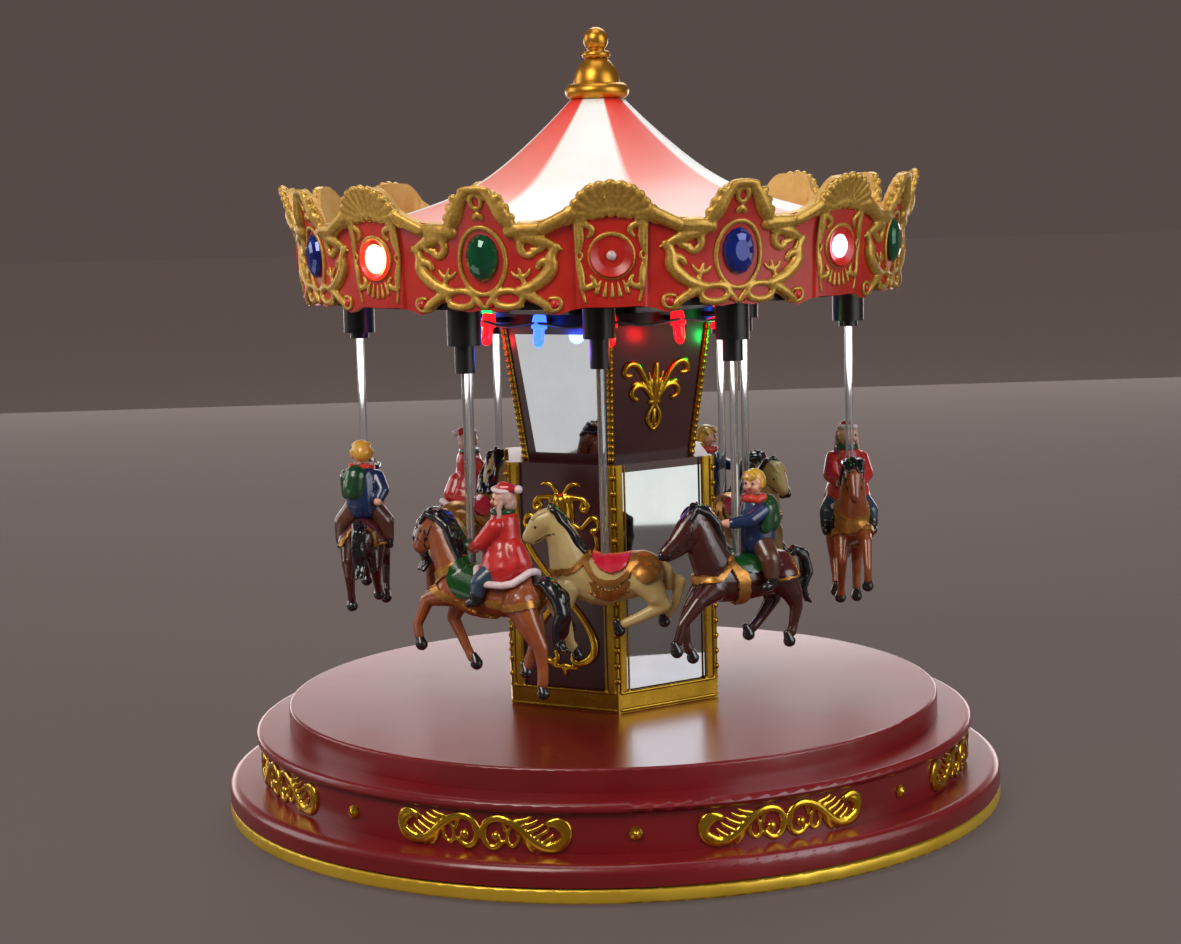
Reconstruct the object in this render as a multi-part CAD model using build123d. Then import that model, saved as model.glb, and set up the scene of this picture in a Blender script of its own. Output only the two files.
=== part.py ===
from build123d import *
import math
import os

# Table-top musical merry-go-round: a round stepped base with the works inside, a six-sided
# tower, and a canopy that turns on a shaft and carries nine horses on sliding poles.
# The frame: z up, origin on the table under the shaft. A direction "theta" is counted in
# degrees from -Y (the front) towards +X.

# ------------------------------------------------------------------ base, in mm
base_radius = 150.0
foot_height = 2.0
foot_radius = 7.0
foot_count = 6
plate_thickness = 2.2
band_bottom = 1.0
band_height = 5.2
band_width = 3.6
tier_gap = 0.6
lower_tier_height = 7.6
lower_tier_round = 3.4
frieze_setback = 13.5
frieze_height = 14.2
upper_tier_overhang = 2.7
upper_tier_height = 4.0
upper_tier_round = 1.9
deck_setback = 13.0
deck_height = 8.7
deck_thickness = 2.4
deck_lap = 9.0
deck_round = 1.2
housing_wall = 2.2
screw_count = 6
screw_radius = 1.4
screw_head_radius = 2.8
screw_head_height = 1.4
boss_radius = 4.0
boss_sink = 1.0
unit_count = 8
scroll_relief = 1.8
stud_radius = 2.3
stud_height = 1.9

# ------------------------------------------------------------------ tower
tower_radius = 43.8
tower_height = 93.2
tower_wall = 2.2
upper_foot_radius = 35.8
upper_top_radius = 44.1
upper_height = 51.5
mirror_thickness = 1.0
mirror_side_margin = 4.2
mirror_end_margin = 3.0
skirting_height = 7.5
skirting_thickness = 1.6
post_width = 4.0
post_thickness = 1.2
rope_radius = 1.2
ornament_relief = 2.4
cap_height = 4.5
cap_radius = 42.5
bulb_circle = 50.7
bulb_count = 12
bulb_radius = 2.9
bulb_length = 8.0
socket_radius = 2.2
socket_length = 4.6
bulb_lean = 9.0
wire_radius = 0.55

# ------------------------------------------------------------------ drive
shaft_radius = 3.0
running_gap = 0.05
bush_wall = 3.0
lower_bush_length = 14.0
gear_module = 1.0
pressure_angle = 20.0
main_teeth = 48
pinion_teeth = 16
gear_thickness = 5.0
gear_play = 0.12
gear_hub_radius = 8.0
motor_radius = 25.0
motor_height = 17.0
motor_shaft_radius = 2.5
motor_shaft_offset = 10.0
slip_ring_radius = 11.0
slip_ring_length = 14.0
free_gap = 0.3

# ------------------------------------------------------------------ canopy
canopy_gap = 6.1
floor_thickness = 2.2
neck_radius = 13.0
hanger_radius = 6.0
hanger_drop = 13.4
crown_skirt = 3.1
crown_height = 44.9
crown_foot_radius = 112.3
crown_waist_radius = 113.6
crown_top_radius = 119.3
crown_wall = 2.4
crown_valley_depth = 13.0
ledge_width = 5.0
ledge_thickness = 2.0
tent_ledge_height = 24.0
tent_wall = 1.5
tent_rise = 50.0
tent_top_radius = 10.3
crown_phase = -1.0
gem_width = 12.8
gem_height = 18.6
gem_depth = 4.2
bezel_width = 2.6
cup_radius = 8.3
cup_depth = 4.0
lamp_radius = 2.4
lamp_length = 8.0

# ------------------------------------------------------------------ horses and their lift
outer_circle = 94.1
inner_circle = 63.5
horse_phase = -4.0
rod_radius = 1.5
sleeve_radius = 3.6
rod_length = 67.5
rod_seat = 9.0
lift_mean = 6.5
lift_swing = 4.5
lift_phase = -12.0
cam_radius = 54.0
cam_height = 15.5
cam_wall = 6.0
groove_depth = 2.5
groove_width = 3.4
arm_height = 3.0
arm_width = 3.0
arm_foot = 3.2
pin_radius = 1.2
guide_wall = 1.6
guide_length = 3.0
guide_height = 14.0

# ------------------------------------------------------------------ controls at the back
switch_travel = 3.0
switch_side = 3.2
switch_lip = 1.0
switch_cap_reach = 2.6
switch_lip_thickness = 2.4
inlet_radius = 4.0
control_pitch = 14.0
dial_radius = 8.0
dial_height = 3.0
dial_pin_radius = 1.5
dial_reach = 1.6
speaker_x = -85.0
speaker_radius = 20.0
speaker_height = 12.0
board_length = 62.0
board_width = 38.0
board_y = 96.0

# ------------------------------------------------------------------ levels that follow
plate_top = foot_height + plate_thickness
housing_bottom = band_bottom + band_height + tier_gap
lower_tier_top = housing_bottom + lower_tier_height
frieze_top = lower_tier_top + frieze_height
upper_tier_top = frieze_top + upper_tier_height
deck_top = upper_tier_top + deck_height
deck_underside = deck_top - deck_thickness
tower_top = deck_top + tower_height
upper_top = tower_top + upper_height
cap_top = upper_top + cap_height
floor_bottom = cap_top + canopy_gap
floor_top = floor_bottom + floor_thickness
hanger_bottom = floor_bottom - hanger_drop
crown_bottom = floor_bottom - crown_skirt
crown_top = crown_bottom + crown_height
tent_foot = crown_bottom + tent_ledge_height + ledge_thickness
tent_top = tent_foot + tent_rise
frieze_radius = base_radius - frieze_setback
upper_tier_radius = frieze_radius + upper_tier_overhang
deck_radius = upper_tier_radius - deck_setback
bush_radius = shaft_radius + bush_wall
gear_bottom = plate_top + motor_height + 3.6
gear_distance = gear_module * (main_teeth + pinion_teeth) / 2 + gear_play
lift_low = lift_mean + lift_swing
arm_bottom_low = floor_top + arm_foot

parts = {}


# ------------------------------------------------------------------ helpers
def spot(theta, radius, z):
    """Point at a direction, radius and height."""
    turn = math.radians(theta)
    return Vector(radius * math.sin(turn), -radius * math.cos(turn), z)


def facing(theta, radius, z, lean=0.0):
    """Plane that looks outwards: x to its right, y up, tipped back by lean degrees."""
    turn = math.radians(theta)
    tip = math.radians(lean)
    outward = Vector(math.sin(turn), -math.cos(turn), 0) * math.cos(tip) + Vector(0, 0, math.sin(tip))
    return Plane(spot(theta, radius, z), x_dir=(math.cos(turn), math.sin(turn), 0), z_dir=outward)


def disc(radius, low, high):
    return Pos(0, 0, low) * Cylinder(radius, high - low, align=(Align.CENTER, Align.CENTER, Align.MIN))


def ring(outer, inner, low, high):
    return disc(outer, low, high) - disc(inner, low - 1, high + 1)


def post(x, y, radius, low, high):
    return Pos(x, y, 0) * disc(radius, low, high)


def lathe(*points):
    """Solid turned about z from a closed outline of (radius, height) points."""
    outline = Polyline(*[(r, 0, z) for r, z in points], close=True)
    return revolve(make_face(outline), Axis.Z)


def hexagon(radius, z):
    """Hexagon with a corner to the front."""
    return Pos(0, 0, z) * RegularPolygon(radius, 6, rotation=30)


def prism(low_radius, high_radius, low, high):
    return loft([hexagon(low_radius, low), hexagon(high_radius, high)])


def taper(start, start_radius, end, end_radius):
    """Tapered round bar between two points."""
    a = Vector(*start)
    along = Vector(*end) - a
    return Plane(a, z_dir=along) * Rot(0, 0, 40) * Cone(
        start_radius, end_radius, along.length, align=(Align.CENTER, Align.CENTER, Align.MIN)
    )


def limb(start, start_radius, end, end_radius):
    """Tapered limb that starts inside its neighbour and ends in a ball joint."""
    return [taper(start, start_radius, end, end_radius), Pos(*end) * Sphere(end_radius * 1.03)]


def group(shapes):
    """Separate solids kept apart in one node."""
    return Compound(children=[solid for shape in shapes for solid in shape.solids()])


def lift_at(theta):
    """How far a sleeve stands out below its hanger at a direction of the two-lobed cam."""
    return lift_mean + lift_swing * math.cos(2 * math.radians(theta - lift_phase))


# ------------------------------------------------------------------ base
def make_base_housing():
    """Two-stepped ring with a hollow inside, screw bosses and the control openings."""
    outer = lathe(
        (0, housing_bottom),
        (base_radius, housing_bottom),
        (base_radius, lower_tier_top),
        (frieze_radius, lower_tier_top),
        (frieze_radius, frieze_top),
        (upper_tier_radius, frieze_top),
        (upper_tier_radius, upper_tier_top),
        (0, upper_tier_top),
    )
    second_level = outer.edges().filter_by(GeomType.CIRCLE).group_by(Axis.Z)[1]
    lower_tier_edge = [e for e in second_level if abs(e.radius - base_radius) < 0.01]
    outer = fillet(lower_tier_edge, lower_tier_round)
    circles = outer.edges().filter_by(GeomType.CIRCLE)
    upper_tier_edges = [e for e in circles if abs(e.radius - upper_tier_radius) < 0.01]
    outer = fillet(upper_tier_edges, upper_tier_round)
    inner_radius = frieze_radius - housing_wall
    body = outer - disc(inner_radius, housing_bottom - 1, upper_tier_top - housing_wall)
    body -= disc(base_radius - housing_wall, housing_bottom - 1, lower_tier_top - housing_wall)
    body -= disc(deck_radius - deck_lap, housing_bottom - 1, upper_tier_top + 1)
    boss_circle = inner_radius - boss_radius + boss_sink
    for k in range(screw_count):
        where = spot(30 + 60 * k, boss_circle, 0)
        body += post(where.X, where.Y, boss_radius, plate_top, upper_tier_top - housing_wall / 2)
    for k in range(screw_count):
        where = spot(30 + 60 * k, boss_circle, 0)
        body -= post(where.X, where.Y, screw_radius, plate_top - 1, plate_top + 13)
    level = (lower_tier_top + frieze_top) / 2
    inlet_plane = facing(180, frieze_radius, level)
    body -= inlet_plane * Cylinder(inlet_radius + free_gap, 4 * housing_wall)
    body -= inlet_plane * Pos(-control_pitch, 0, 0) * Box(
        switch_travel + switch_side + 2 * free_gap, switch_side + 2 * free_gap, 6 * housing_wall
    )
    dial_cut = dial_radius + free_gap
    body -= Pos(*dial_spot(level)) * Cylinder(dial_cut, dial_height + 2 * free_gap)
    return body



def dial_spot(level):
    """Middle of the volume wheel, whose rim stands out of the frieze."""
    plane = facing(180, frieze_radius + dial_reach - dial_radius, level)
    return plane.from_local_coords((control_pitch, 0, 0))


def make_gold_band():
    band_top = band_bottom + band_height
    band = ring(base_radius, base_radius - band_width, band_bottom, band_top)
    outer_edges = [e for e in band.edges().filter_by(GeomType.CIRCLE) if e.radius > base_radius - 0.1]
    return fillet(outer_edges, 1.2)


def make_bottom_plate():
    """Plate inside the gold band, with the shaft socket, sound holes and the wheel's pin."""
    plate = disc(base_radius - band_width, foot_height, plate_top)
    socket_top = plate_top + lower_bush_length + 1.5
    plate += ring(bush_radius + 3.0, bush_radius, plate_top - 0.5, socket_top)
    level = (lower_tier_top + frieze_top) / 2
    where = dial_spot(level)
    stand_top = level - dial_height / 2 - free_gap
    plate += post(where.X, where.Y, dial_pin_radius + 0.9, plate_top - 0.5, stand_top)
    plate += post(where.X, where.Y, dial_pin_radius, plate_top - 0.5, level + dial_height / 2 + 1.0)
    boss_circle = frieze_radius - housing_wall - boss_radius + boss_sink
    for k in range(screw_count):
        where = spot(30 + 60 * k, boss_circle, 0)
        plate -= post(where.X, where.Y, screw_radius, foot_height - 1, plate_top + 1)
        plate -= post(where.X, where.Y, screw_head_radius, foot_height - 1, foot_height + screw_head_height)
    for row in range(-2, 3):
        middle = Pos(speaker_x, 6.0 * row, plate_top - plate_thickness / 2)
        plate -= middle * Box(26, 2.4, 3 * plate_thickness)
    return plate


def make_screws():
    boss_circle = frieze_radius - housing_wall - boss_radius + boss_sink
    screws = []
    for k in range(screw_count):
        where = spot(30 + 60 * k, boss_circle, 0)
        shank = post(where.X, where.Y, screw_radius, foot_height, plate_top + 12)
        head = post(where.X, where.Y, screw_head_radius, foot_height, foot_height + screw_head_height)
        cross = Pos(where.X, where.Y, foot_height) * (Box(3.2, 0.7, 1.2) + Box(0.7, 3.2, 1.2))
        screws.append(shank + head - cross)
    return group(screws)


def make_feet():
    feet = []
    for k in range(foot_count):
        where = spot(60 * k, base_radius - 24, 0)
        foot = post(where.X, where.Y, foot_radius, 0, foot_height)
        feet.append(chamfer(foot.edges().group_by(Axis.Z)[0], 0.5))
    return group(feet)


def make_deck():
    """Round floor under the horses, with a down-turned rim and a hole for the shaft."""
    deck = disc(deck_radius, upper_tier_top, deck_top)
    deck = fillet(deck.edges().group_by(Axis.Z)[-1], deck_round)
    deck -= disc(deck_radius - deck_lap, upper_tier_top - 1, deck_underside)
    return deck - disc(24.0, deck_underside - 1, deck_top + 1)


def scroll_outline():
    """One half of the acanthus scroll, from its middle to its curled end."""
    curl = Pos(27, -0.6) * Circle(5.9)
    leaf = Pos(17, 1.0) * Rectangle(18, 5.0)
    heart = Pos(4.2, -0.6) * Circle(4.8)
    return curl + leaf + heart - Pos(27, -0.6) * Circle(2.2)


def make_scrolls():
    """Gilt scrolls and studs round the frieze. The back stud leaves room for the controls."""
    level = (lower_tier_top + frieze_top) / 2
    skin = ring(frieze_radius + scroll_relief, frieze_radius, lower_tier_top, frieze_top)
    half = scroll_outline()
    outline = half + mirror(half, Plane.YZ)
    pieces = []
    for k in range(unit_count):
        theta = 360 / unit_count * (k + 0.5)
        column = extrude(facing(theta, frieze_radius - 8, level) * outline, 16)
        pieces.append(skin & column)
    for k in range(unit_count):
        if k == unit_count // 2:
            continue
        theta = 360 / unit_count * k
        stud = facing(theta, frieze_radius, level) * Cone(
            stud_radius, stud_radius * 0.45, stud_height, align=(Align.CENTER, Align.CENTER, Align.MIN)
        )
        pieces.append(stud - disc(frieze_radius, 0, deck_top))
    return group(pieces)


# ------------------------------------------------------------------ works in the base
def gear_outline(teeth):
    """Involute gear outline with one tooth on +X."""
    pitch = gear_module * teeth / 2
    base = pitch * math.cos(math.radians(pressure_angle))
    tip = pitch + gear_module
    root = pitch - 1.25 * gear_module
    slack = gear_play / (2 * pitch)

    def involute(radius):
        angle = math.acos(min(1.0, base / radius))
        return math.tan(angle) - angle

    half_pitch = math.pi / (2 * teeth) - slack
    flank = []
    for radius in (root, max(root, base), pitch, tip):
        flank.append((radius, half_pitch + involute(pitch) - involute(max(radius, base))))
    points = []
    for k in range(teeth):
        middle = 2 * math.pi * k / teeth
        for radius, half in flank:
            points.append((radius * math.cos(middle - half), radius * math.sin(middle - half)))
        for radius, half in reversed(flank):
            points.append((radius * math.cos(middle + half), radius * math.sin(middle + half)))
    distinct = [points[0]]
    for point in points[1:]:
        if math.dist(point, distinct[-1]) > 1e-4:
            distinct.append(point)
    return make_face(Polyline(*distinct, close=True))


def make_main_gear():
    """Large gear pressed on the shaft, a tooth towards the motor."""
    wheel = Pos(0, 0, gear_bottom) * Rot(0, 0, -90) * extrude(gear_outline(main_teeth), gear_thickness)
    wheel += disc(gear_hub_radius, gear_bottom - 1.2, gear_bottom + gear_thickness + 1.5)
    for k in range(6):
        where = spot(30 + 60 * k, 15, 0)
        wheel -= post(where.X, where.Y, 4.2, gear_bottom - 1, gear_bottom + gear_thickness + 2)
    return wheel - disc(shaft_radius, gear_bottom - 3, gear_bottom + gear_thickness + 3)


def make_motor_pinion():
    """Small gear on the motor's output shaft, a gap towards the large gear."""
    turn = 90 + 180 / pinion_teeth
    gear = Pos(0, -gear_distance, gear_bottom - 0.4) * Rot(0, 0, turn) * extrude(
        gear_outline(pinion_teeth), gear_thickness + 0.8
    )
    stem_bottom = plate_top + motor_height - 6
    return gear + post(0, -gear_distance, motor_shaft_radius, stem_bottom, gear_bottom + gear_thickness + 1)


def make_drive_motor():
    """Flat geared motor with two fixing ears, standing on the bottom plate."""
    middle = -gear_distance - motor_shaft_offset
    top = plate_top + motor_height
    body = post(0, middle, motor_radius, plate_top, top - 1.0)
    body += post(0, middle, motor_radius - 1.5, plate_top, top)
    for side in (-1, 1):
        body += Pos(side * (motor_radius + 3), middle, plate_top + 1) * Box(12, 9, 2)
    body -= post(0, -gear_distance, motor_shaft_radius + running_gap, top - 7, top + 1)
    return body


def make_speaker():
    cone = post(speaker_x, 0, speaker_radius, plate_top, plate_top + 4)
    cone += post(speaker_x, 0, speaker_radius * 0.62, plate_top + 4, plate_top + speaker_height)
    return cone


def make_control_board():
    """Circuit board on four stand-offs with its melody chip, lamp driver and capacitor."""
    level = plate_top + 4
    board = Pos(0, board_y, level + 0.8) * Box(board_length, board_width, 1.6)
    for x in (-1, 1):
        for y in (-1, 1):
            leg_x = x * (board_length / 2 - 4)
            leg_y = board_y + y * (board_width / 2 - 4)
            board += post(leg_x, leg_y, 2.2, plate_top, level)
    board += Pos(-10, board_y, level + 2.4) * Box(12, 8, 2)
    board += Pos(12, board_y - 6, level + 2.2) * Box(9, 6, 1.6)
    board += post(20, board_y + 8, 3.2, level + 1, level + 9)
    return board


def make_power_inlet():
    """Low-voltage barrel socket, with its contact pin, facing backwards."""
    level = (lower_tier_top + frieze_top) / 2
    plane = facing(180, frieze_radius, level)
    barrel = plane * Pos(0, 0, -5.6) * Cylinder(inlet_radius, 12.4)
    block = plane * Pos(0, 0, -housing_wall - 7) * Box(9, 10.4, 9)
    socket = barrel + block
    socket -= plane * Pos(0, 0, -3.9) * Cylinder(2.75, 9.2)
    return socket + plane * Pos(0, 0, -4.6) * Cylinder(1.05, 8.0)


def make_power_switch():
    """Sliding switch cap, shown at the off end of its slot, with a lip behind the curved wall."""
    level = (lower_tier_top + frieze_top) / 2
    plane = facing(180, frieze_radius, level)
    side = -control_pitch - switch_travel / 2
    inner_radius = frieze_radius - housing_wall
    furthest = switch_side / 2 - side
    sagitta = inner_radius - math.sqrt(inner_radius**2 - furthest**2)
    lip_top = -housing_wall - sagitta - free_gap
    cap_middle = (switch_cap_reach + lip_top) / 2
    cap = plane * Pos(side, 0, cap_middle) * Box(switch_side, switch_side, switch_cap_reach - lip_top)
    lip = plane * Pos(side, 0, lip_top - switch_lip_thickness / 2) * Box(
        switch_side, switch_side + 2 * switch_lip, switch_lip_thickness
    )
    return cap + lip


def make_volume_dial():
    """Ribbed thumb wheel on its pin."""
    level = (lower_tier_top + frieze_top) / 2
    where = dial_spot(level)
    wheel = Cylinder(dial_radius, dial_height)
    for k in range(18):
        angle = math.radians(20 * k)
        groove = Pos(dial_radius * math.cos(angle), dial_radius * math.sin(angle), 0)
        wheel -= groove * Cylinder(0.45, dial_height + 1)
    wheel -= Cylinder(dial_pin_radius + running_gap, dial_height + 1)
    return Pos(where.X, where.Y, where.Z) * wheel


def make_shaft_bushes():
    lower = ring(bush_radius, shaft_radius + running_gap, plate_top, plate_top + lower_bush_length)
    upper = ring(bush_radius, shaft_radius + running_gap, cap_top + 0.5, floor_top + 1.0)
    return group([lower, upper])


def make_main_shaft():
    """Shaft from the thrust seat in the base to the finial, with two contact bands."""
    shaft = disc(shaft_radius, plate_top + free_gap, tent_top + 7)
    slip_middle = tower_top - tower_wall - slip_ring_length / 2
    for side in (-1, 1):
        shaft += disc(shaft_radius + 0.3, slip_middle + 3 * side - 1, slip_middle + 3 * side + 1)
    return shaft


def make_slip_ring():
    """Stationary brush drum round the shaft, under the lower tower's lid."""
    top = tower_top - tower_wall
    drum = ring(slip_ring_radius, shaft_radius + 0.8, top - slip_ring_length, top)
    flange = ring(slip_ring_radius + 4, shaft_radius + 0.8, top - 1.6, top)
    return drum + flange


# ------------------------------------------------------------------ tower
def tower_apothem(radius):
    return radius * math.cos(math.radians(30))


upper_lean = -math.degrees(
    math.atan2(tower_apothem(upper_top_radius) - tower_apothem(upper_foot_radius), upper_height)
)


def upper_plane(theta):
    """Plane on the middle of an upper face."""
    middle = (tower_apothem(upper_foot_radius) + tower_apothem(upper_top_radius)) / 2
    return facing(theta, middle, (tower_top + upper_top) / 2, upper_lean)


def upper_panel(inset_sides, inset_ends, depth):
    """Slab with the outline of an upper face, inset from its edges."""
    half_foot = upper_foot_radius / 2 - inset_sides
    half_top = upper_top_radius / 2 - inset_sides
    half = upper_height / 2 - inset_ends
    corners = [(-half_foot, -half), (half_foot, -half), (half_top, half), (-half_top, half)]
    return extrude(make_face(Polyline(*corners, close=True)), depth)


def lower_mirror_blank(depth):
    """Slab with the outline of a lower mirror, sunk in its face."""
    width = tower_radius - 2 * mirror_side_margin
    low = deck_top + skirting_height + 0.6
    high = tower_top - mirror_end_margin
    slab = Box(width, high - low, depth, align=(Align.CENTER, Align.CENTER, Align.MAX))
    return Pos(0, (low + high) / 2, 0) * slab


def make_tower_lower():
    """Six-sided hollow column with a lid. Every other face is sunk for a mirror."""
    shell = prism(tower_radius, tower_radius, deck_top, tower_top)
    inner = tower_radius - tower_wall / math.cos(math.radians(30))
    shell -= prism(inner, inner, deck_top - 1, tower_top - tower_wall)
    shell -= disc(shaft_radius + 2.0, tower_top - 10, tower_top + 1)
    for k in range(3):
        shell -= facing(30 + 120 * k, tower_apothem(tower_radius), 0) * lower_mirror_blank(mirror_thickness)
    return shell


def make_tower_upper():
    """Flared six-sided hollow head. Every other face is sunk for a mirror."""
    shell = prism(upper_foot_radius, upper_top_radius, tower_top, upper_top)
    wall = tower_wall / math.cos(math.radians(30))
    shell -= prism(upper_foot_radius - wall, upper_top_radius - wall, tower_top, upper_top)
    lid = ring(upper_foot_radius - 7, shaft_radius + 2.0, tower_top, tower_top + 1.8)
    rim = prism(upper_foot_radius - wall / 2, upper_foot_radius - wall / 2, tower_top, tower_top + 1.8)
    shell += rim - disc(upper_foot_radius - 8, tower_top - 1, tower_top + 3) + lid
    for k in range(3):
        panel = upper_panel(mirror_side_margin, mirror_end_margin, mirror_thickness)
        shell -= upper_plane(-30 + 120 * k) * Pos(0, 0, -mirror_thickness) * panel
    return shell


def make_tower_mirrors():
    mirrors = []
    for k in range(3):
        plane = facing(30 + 120 * k, tower_apothem(tower_radius), 0)
        mirrors.append(plane * lower_mirror_blank(mirror_thickness))
        panel = upper_panel(mirror_side_margin, mirror_end_margin, mirror_thickness)
        mirrors.append(upper_plane(-30 + 120 * k) * Pos(0, 0, -mirror_thickness) * panel)
    return group(mirrors)


def make_gilt_trim():
    """Skirting rail, corner posts, and the rope moulding of the upper corners."""
    core = prism(tower_radius, tower_radius, deck_top, tower_top)
    flare = prism(upper_foot_radius, upper_top_radius, tower_top, upper_top)
    outer = tower_radius + skirting_thickness
    trim = [prism(outer, outer, deck_top, deck_top + skirting_height) - core]
    rail_top = deck_top + skirting_height
    for k in range(6):
        theta = 60 * k
        skin_radius = tower_radius + post_thickness
        strip = prism(skin_radius, skin_radius, rail_top, tower_top) - core
        column = facing(theta, tower_radius - 4, (rail_top + tower_top) / 2) * Box(
            2 * post_width * math.cos(math.radians(30)), tower_height, 14
        )
        trim.append(strip & column)
        rope = taper(
            spot(theta, upper_foot_radius + 0.2, tower_top + 0.4),
            rope_radius,
            spot(theta, upper_top_radius + 0.2, upper_top - 0.4),
            rope_radius * 1.05,
        )
        trim.append(rope - flare)
    return group(trim)


def urn_outline():
    """Tall urn with scrolled shoulders over a long drop."""
    shape = Pos(0, 28) * Ellipse(5.0, 7.0)
    shape += Pos(0, 36) * Ellipse(8.0, 2.2)
    for side in (-1, 1):
        shape += Pos(9 * side, 24) * (Circle(4.6) - Circle(1.8))
        shape += Pos(5 * side, 17) * Ellipse(2.4, 5.0)
    shape += Pos(0, 10) * Ellipse(1.8, 14.0)
    shape += Pos(0, -12) * Ellipse(4.6, 12.0)
    return shape + Pos(0, -26) * Circle(3.0)


def fleur_outline():
    """Lily with two pairs of scrolls over a drop."""
    shape = Pos(0, 3) * Ellipse(1.7, 9.0)
    shape += Pos(0, -9.5) * Ellipse(2.8, 4.6)
    for side in (-1, 1):
        shape += Pos(4.6 * side, 3.6) * Rot(0, 0, -36 * side) * Ellipse(1.5, 7.6)
        shape += Pos(9.2 * side, 8.6) * Circle(2.3)
        shape += Pos(3.8 * side, -2.2) * Rot(0, 0, -48 * side) * Ellipse(1.4, 5.4)
        shape += Pos(7.2 * side, 0.8) * Circle(1.9)
    return shape


def make_tower_ornaments():
    """Gilt urns on three lower faces and gilt lilies on three upper faces."""
    ornaments = []
    middle = (deck_top + skirting_height + tower_top) / 2
    for k in range(3):
        plane = facing(-30 + 120 * k, tower_apothem(tower_radius), middle)
        ornaments.append(extrude(plane * urn_outline(), ornament_relief))
        ornaments.append(extrude(upper_plane(30 + 120 * k) * fleur_outline(), ornament_relief))
    return group(ornaments)


def make_tower_cap():
    """Black lid of the tower, with a peg for each lamp of the light chain."""
    cap = disc(cap_radius, upper_top, cap_top) - disc(bush_radius, upper_top - 1, cap_top + 1)
    level = upper_top + cap_height / 2
    reach = bulb_circle - socket_radius * 0.6
    for k in range(bulb_count):
        theta = 360 / bulb_count * k
        peg = facing(theta, (cap_radius - 2 + reach) / 2, level) * Cylinder(1.0, reach - cap_radius + 2)
        cap += peg
    for k in range(bulb_count):
        theta = 360 / bulb_count * k
        cap -= bulb_place(theta) * Cylinder(socket_radius, 2 * socket_length)
    return cap


def bulb_place(theta):
    """Where a lamp hangs: its own z runs down and a little outwards."""
    level = upper_top + cap_height / 2
    return Location(facing(theta, bulb_circle, level)) * Rot(90 - bulb_lean, 0, 0)


def make_string_lights():
    """Twelve miniature lamps: a round holder with a pear-shaped bulb below it."""
    lamp = Cylinder(socket_radius, socket_length)
    neck = socket_length / 2
    lamp += Pos(0, 0, neck) * Cone(
        socket_radius, bulb_radius, 2.0, align=(Align.CENTER, Align.CENTER, Align.MIN)
    )
    lamp += Pos(0, 0, neck + 2.0) * Cone(
        bulb_radius, bulb_radius * 0.55, bulb_length - 2.0, align=(Align.CENTER, Align.CENTER, Align.MIN)
    )
    return group([bulb_place(360 / bulb_count * k) * lamp for k in range(bulb_count)])


def make_light_wire():
    """Wire that hangs in shallow loops from holder to holder round the tower."""
    level = upper_top + cap_height / 2
    ring_radius = bulb_circle + socket_radius + wire_radius
    points = [spot(180 - 11, cap_radius - 1.0, level), spot(180 - 12, ring_radius - 3.0, level)]
    for k in range(bulb_count):
        theta = 150 - 360 / bulb_count * k
        points.append(spot(theta, ring_radius, level + 0.4))
        if k < bulb_count - 1:
            points.append(spot(theta - 180 / bulb_count, ring_radius, level - 2.2))
    points[-1] = spot(180 + 12, ring_radius - 3.0, level)
    points.append(spot(180 + 11, cap_radius - 1.0, level))
    radii = []
    for a, b, c in zip(points, points[1:], points[2:]):
        turn = math.radians((b - a).get_angle(c - b))
        radii.append(0.45 * min((b - a).length, (c - b).length) / math.tan(turn / 2))
    path = FilletPolyline(*points, radius=radii)
    return sweep(Plane(path @ 0, z_dir=path % 0) * Circle(wire_radius), path)


# ------------------------------------------------------------------ lift cam
def saddle_slab(mean, thick):
    """Slab between two saddle surfaces that rise and fall twice round the shaft."""
    reach = cam_radius * 1.3
    rise = lift_swing * (reach / cam_radius) ** 2
    corners = []
    for theta, sign in ((0, -1), (90, 1), (180, -1), (270, 1)):
        corners.append(spot(theta + lift_phase, reach * math.sqrt(2), mean + sign * 2 * rise))
    a, b, c, d = corners
    sheet = Face.make_bezier_surface([[a, b], [d, c]])
    return extrude(sheet, thick, dir=(0, 0, 1))


def make_cam_ring():
    """Fixed drum cam on a neck. A wavy groove round it lifts each horse twice a turn."""
    drum_bottom = floor_top + 1.0
    drum = disc(cam_radius, drum_bottom, drum_bottom + cam_height)
    drum -= disc(cam_radius - cam_wall, drum_bottom + 2.0, drum_bottom + cam_height + 1)
    drum += disc(neck_radius, cap_top, drum_bottom + 4)
    drum -= disc(bush_radius, cap_top - 1, drum_bottom + 5)
    follower_mean = arm_bottom_low + lift_swing + arm_height / 2
    wave = saddle_slab(follower_mean - groove_width / 2, groove_width)
    track = ring(cam_radius + 1, cam_radius - groove_depth, drum_bottom - 1, drum_bottom + cam_height + 1)
    return drum - (track & wave)


# ------------------------------------------------------------------ canopy
def horse_places():
    """Direction and circle of each horse: six outside, then three inside."""
    places = [(horse_phase - 90 + 60 * k, outer_circle) for k in range(6)]
    return places + [(horse_phase + 120 * k, inner_circle) for k in range(3)]


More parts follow.
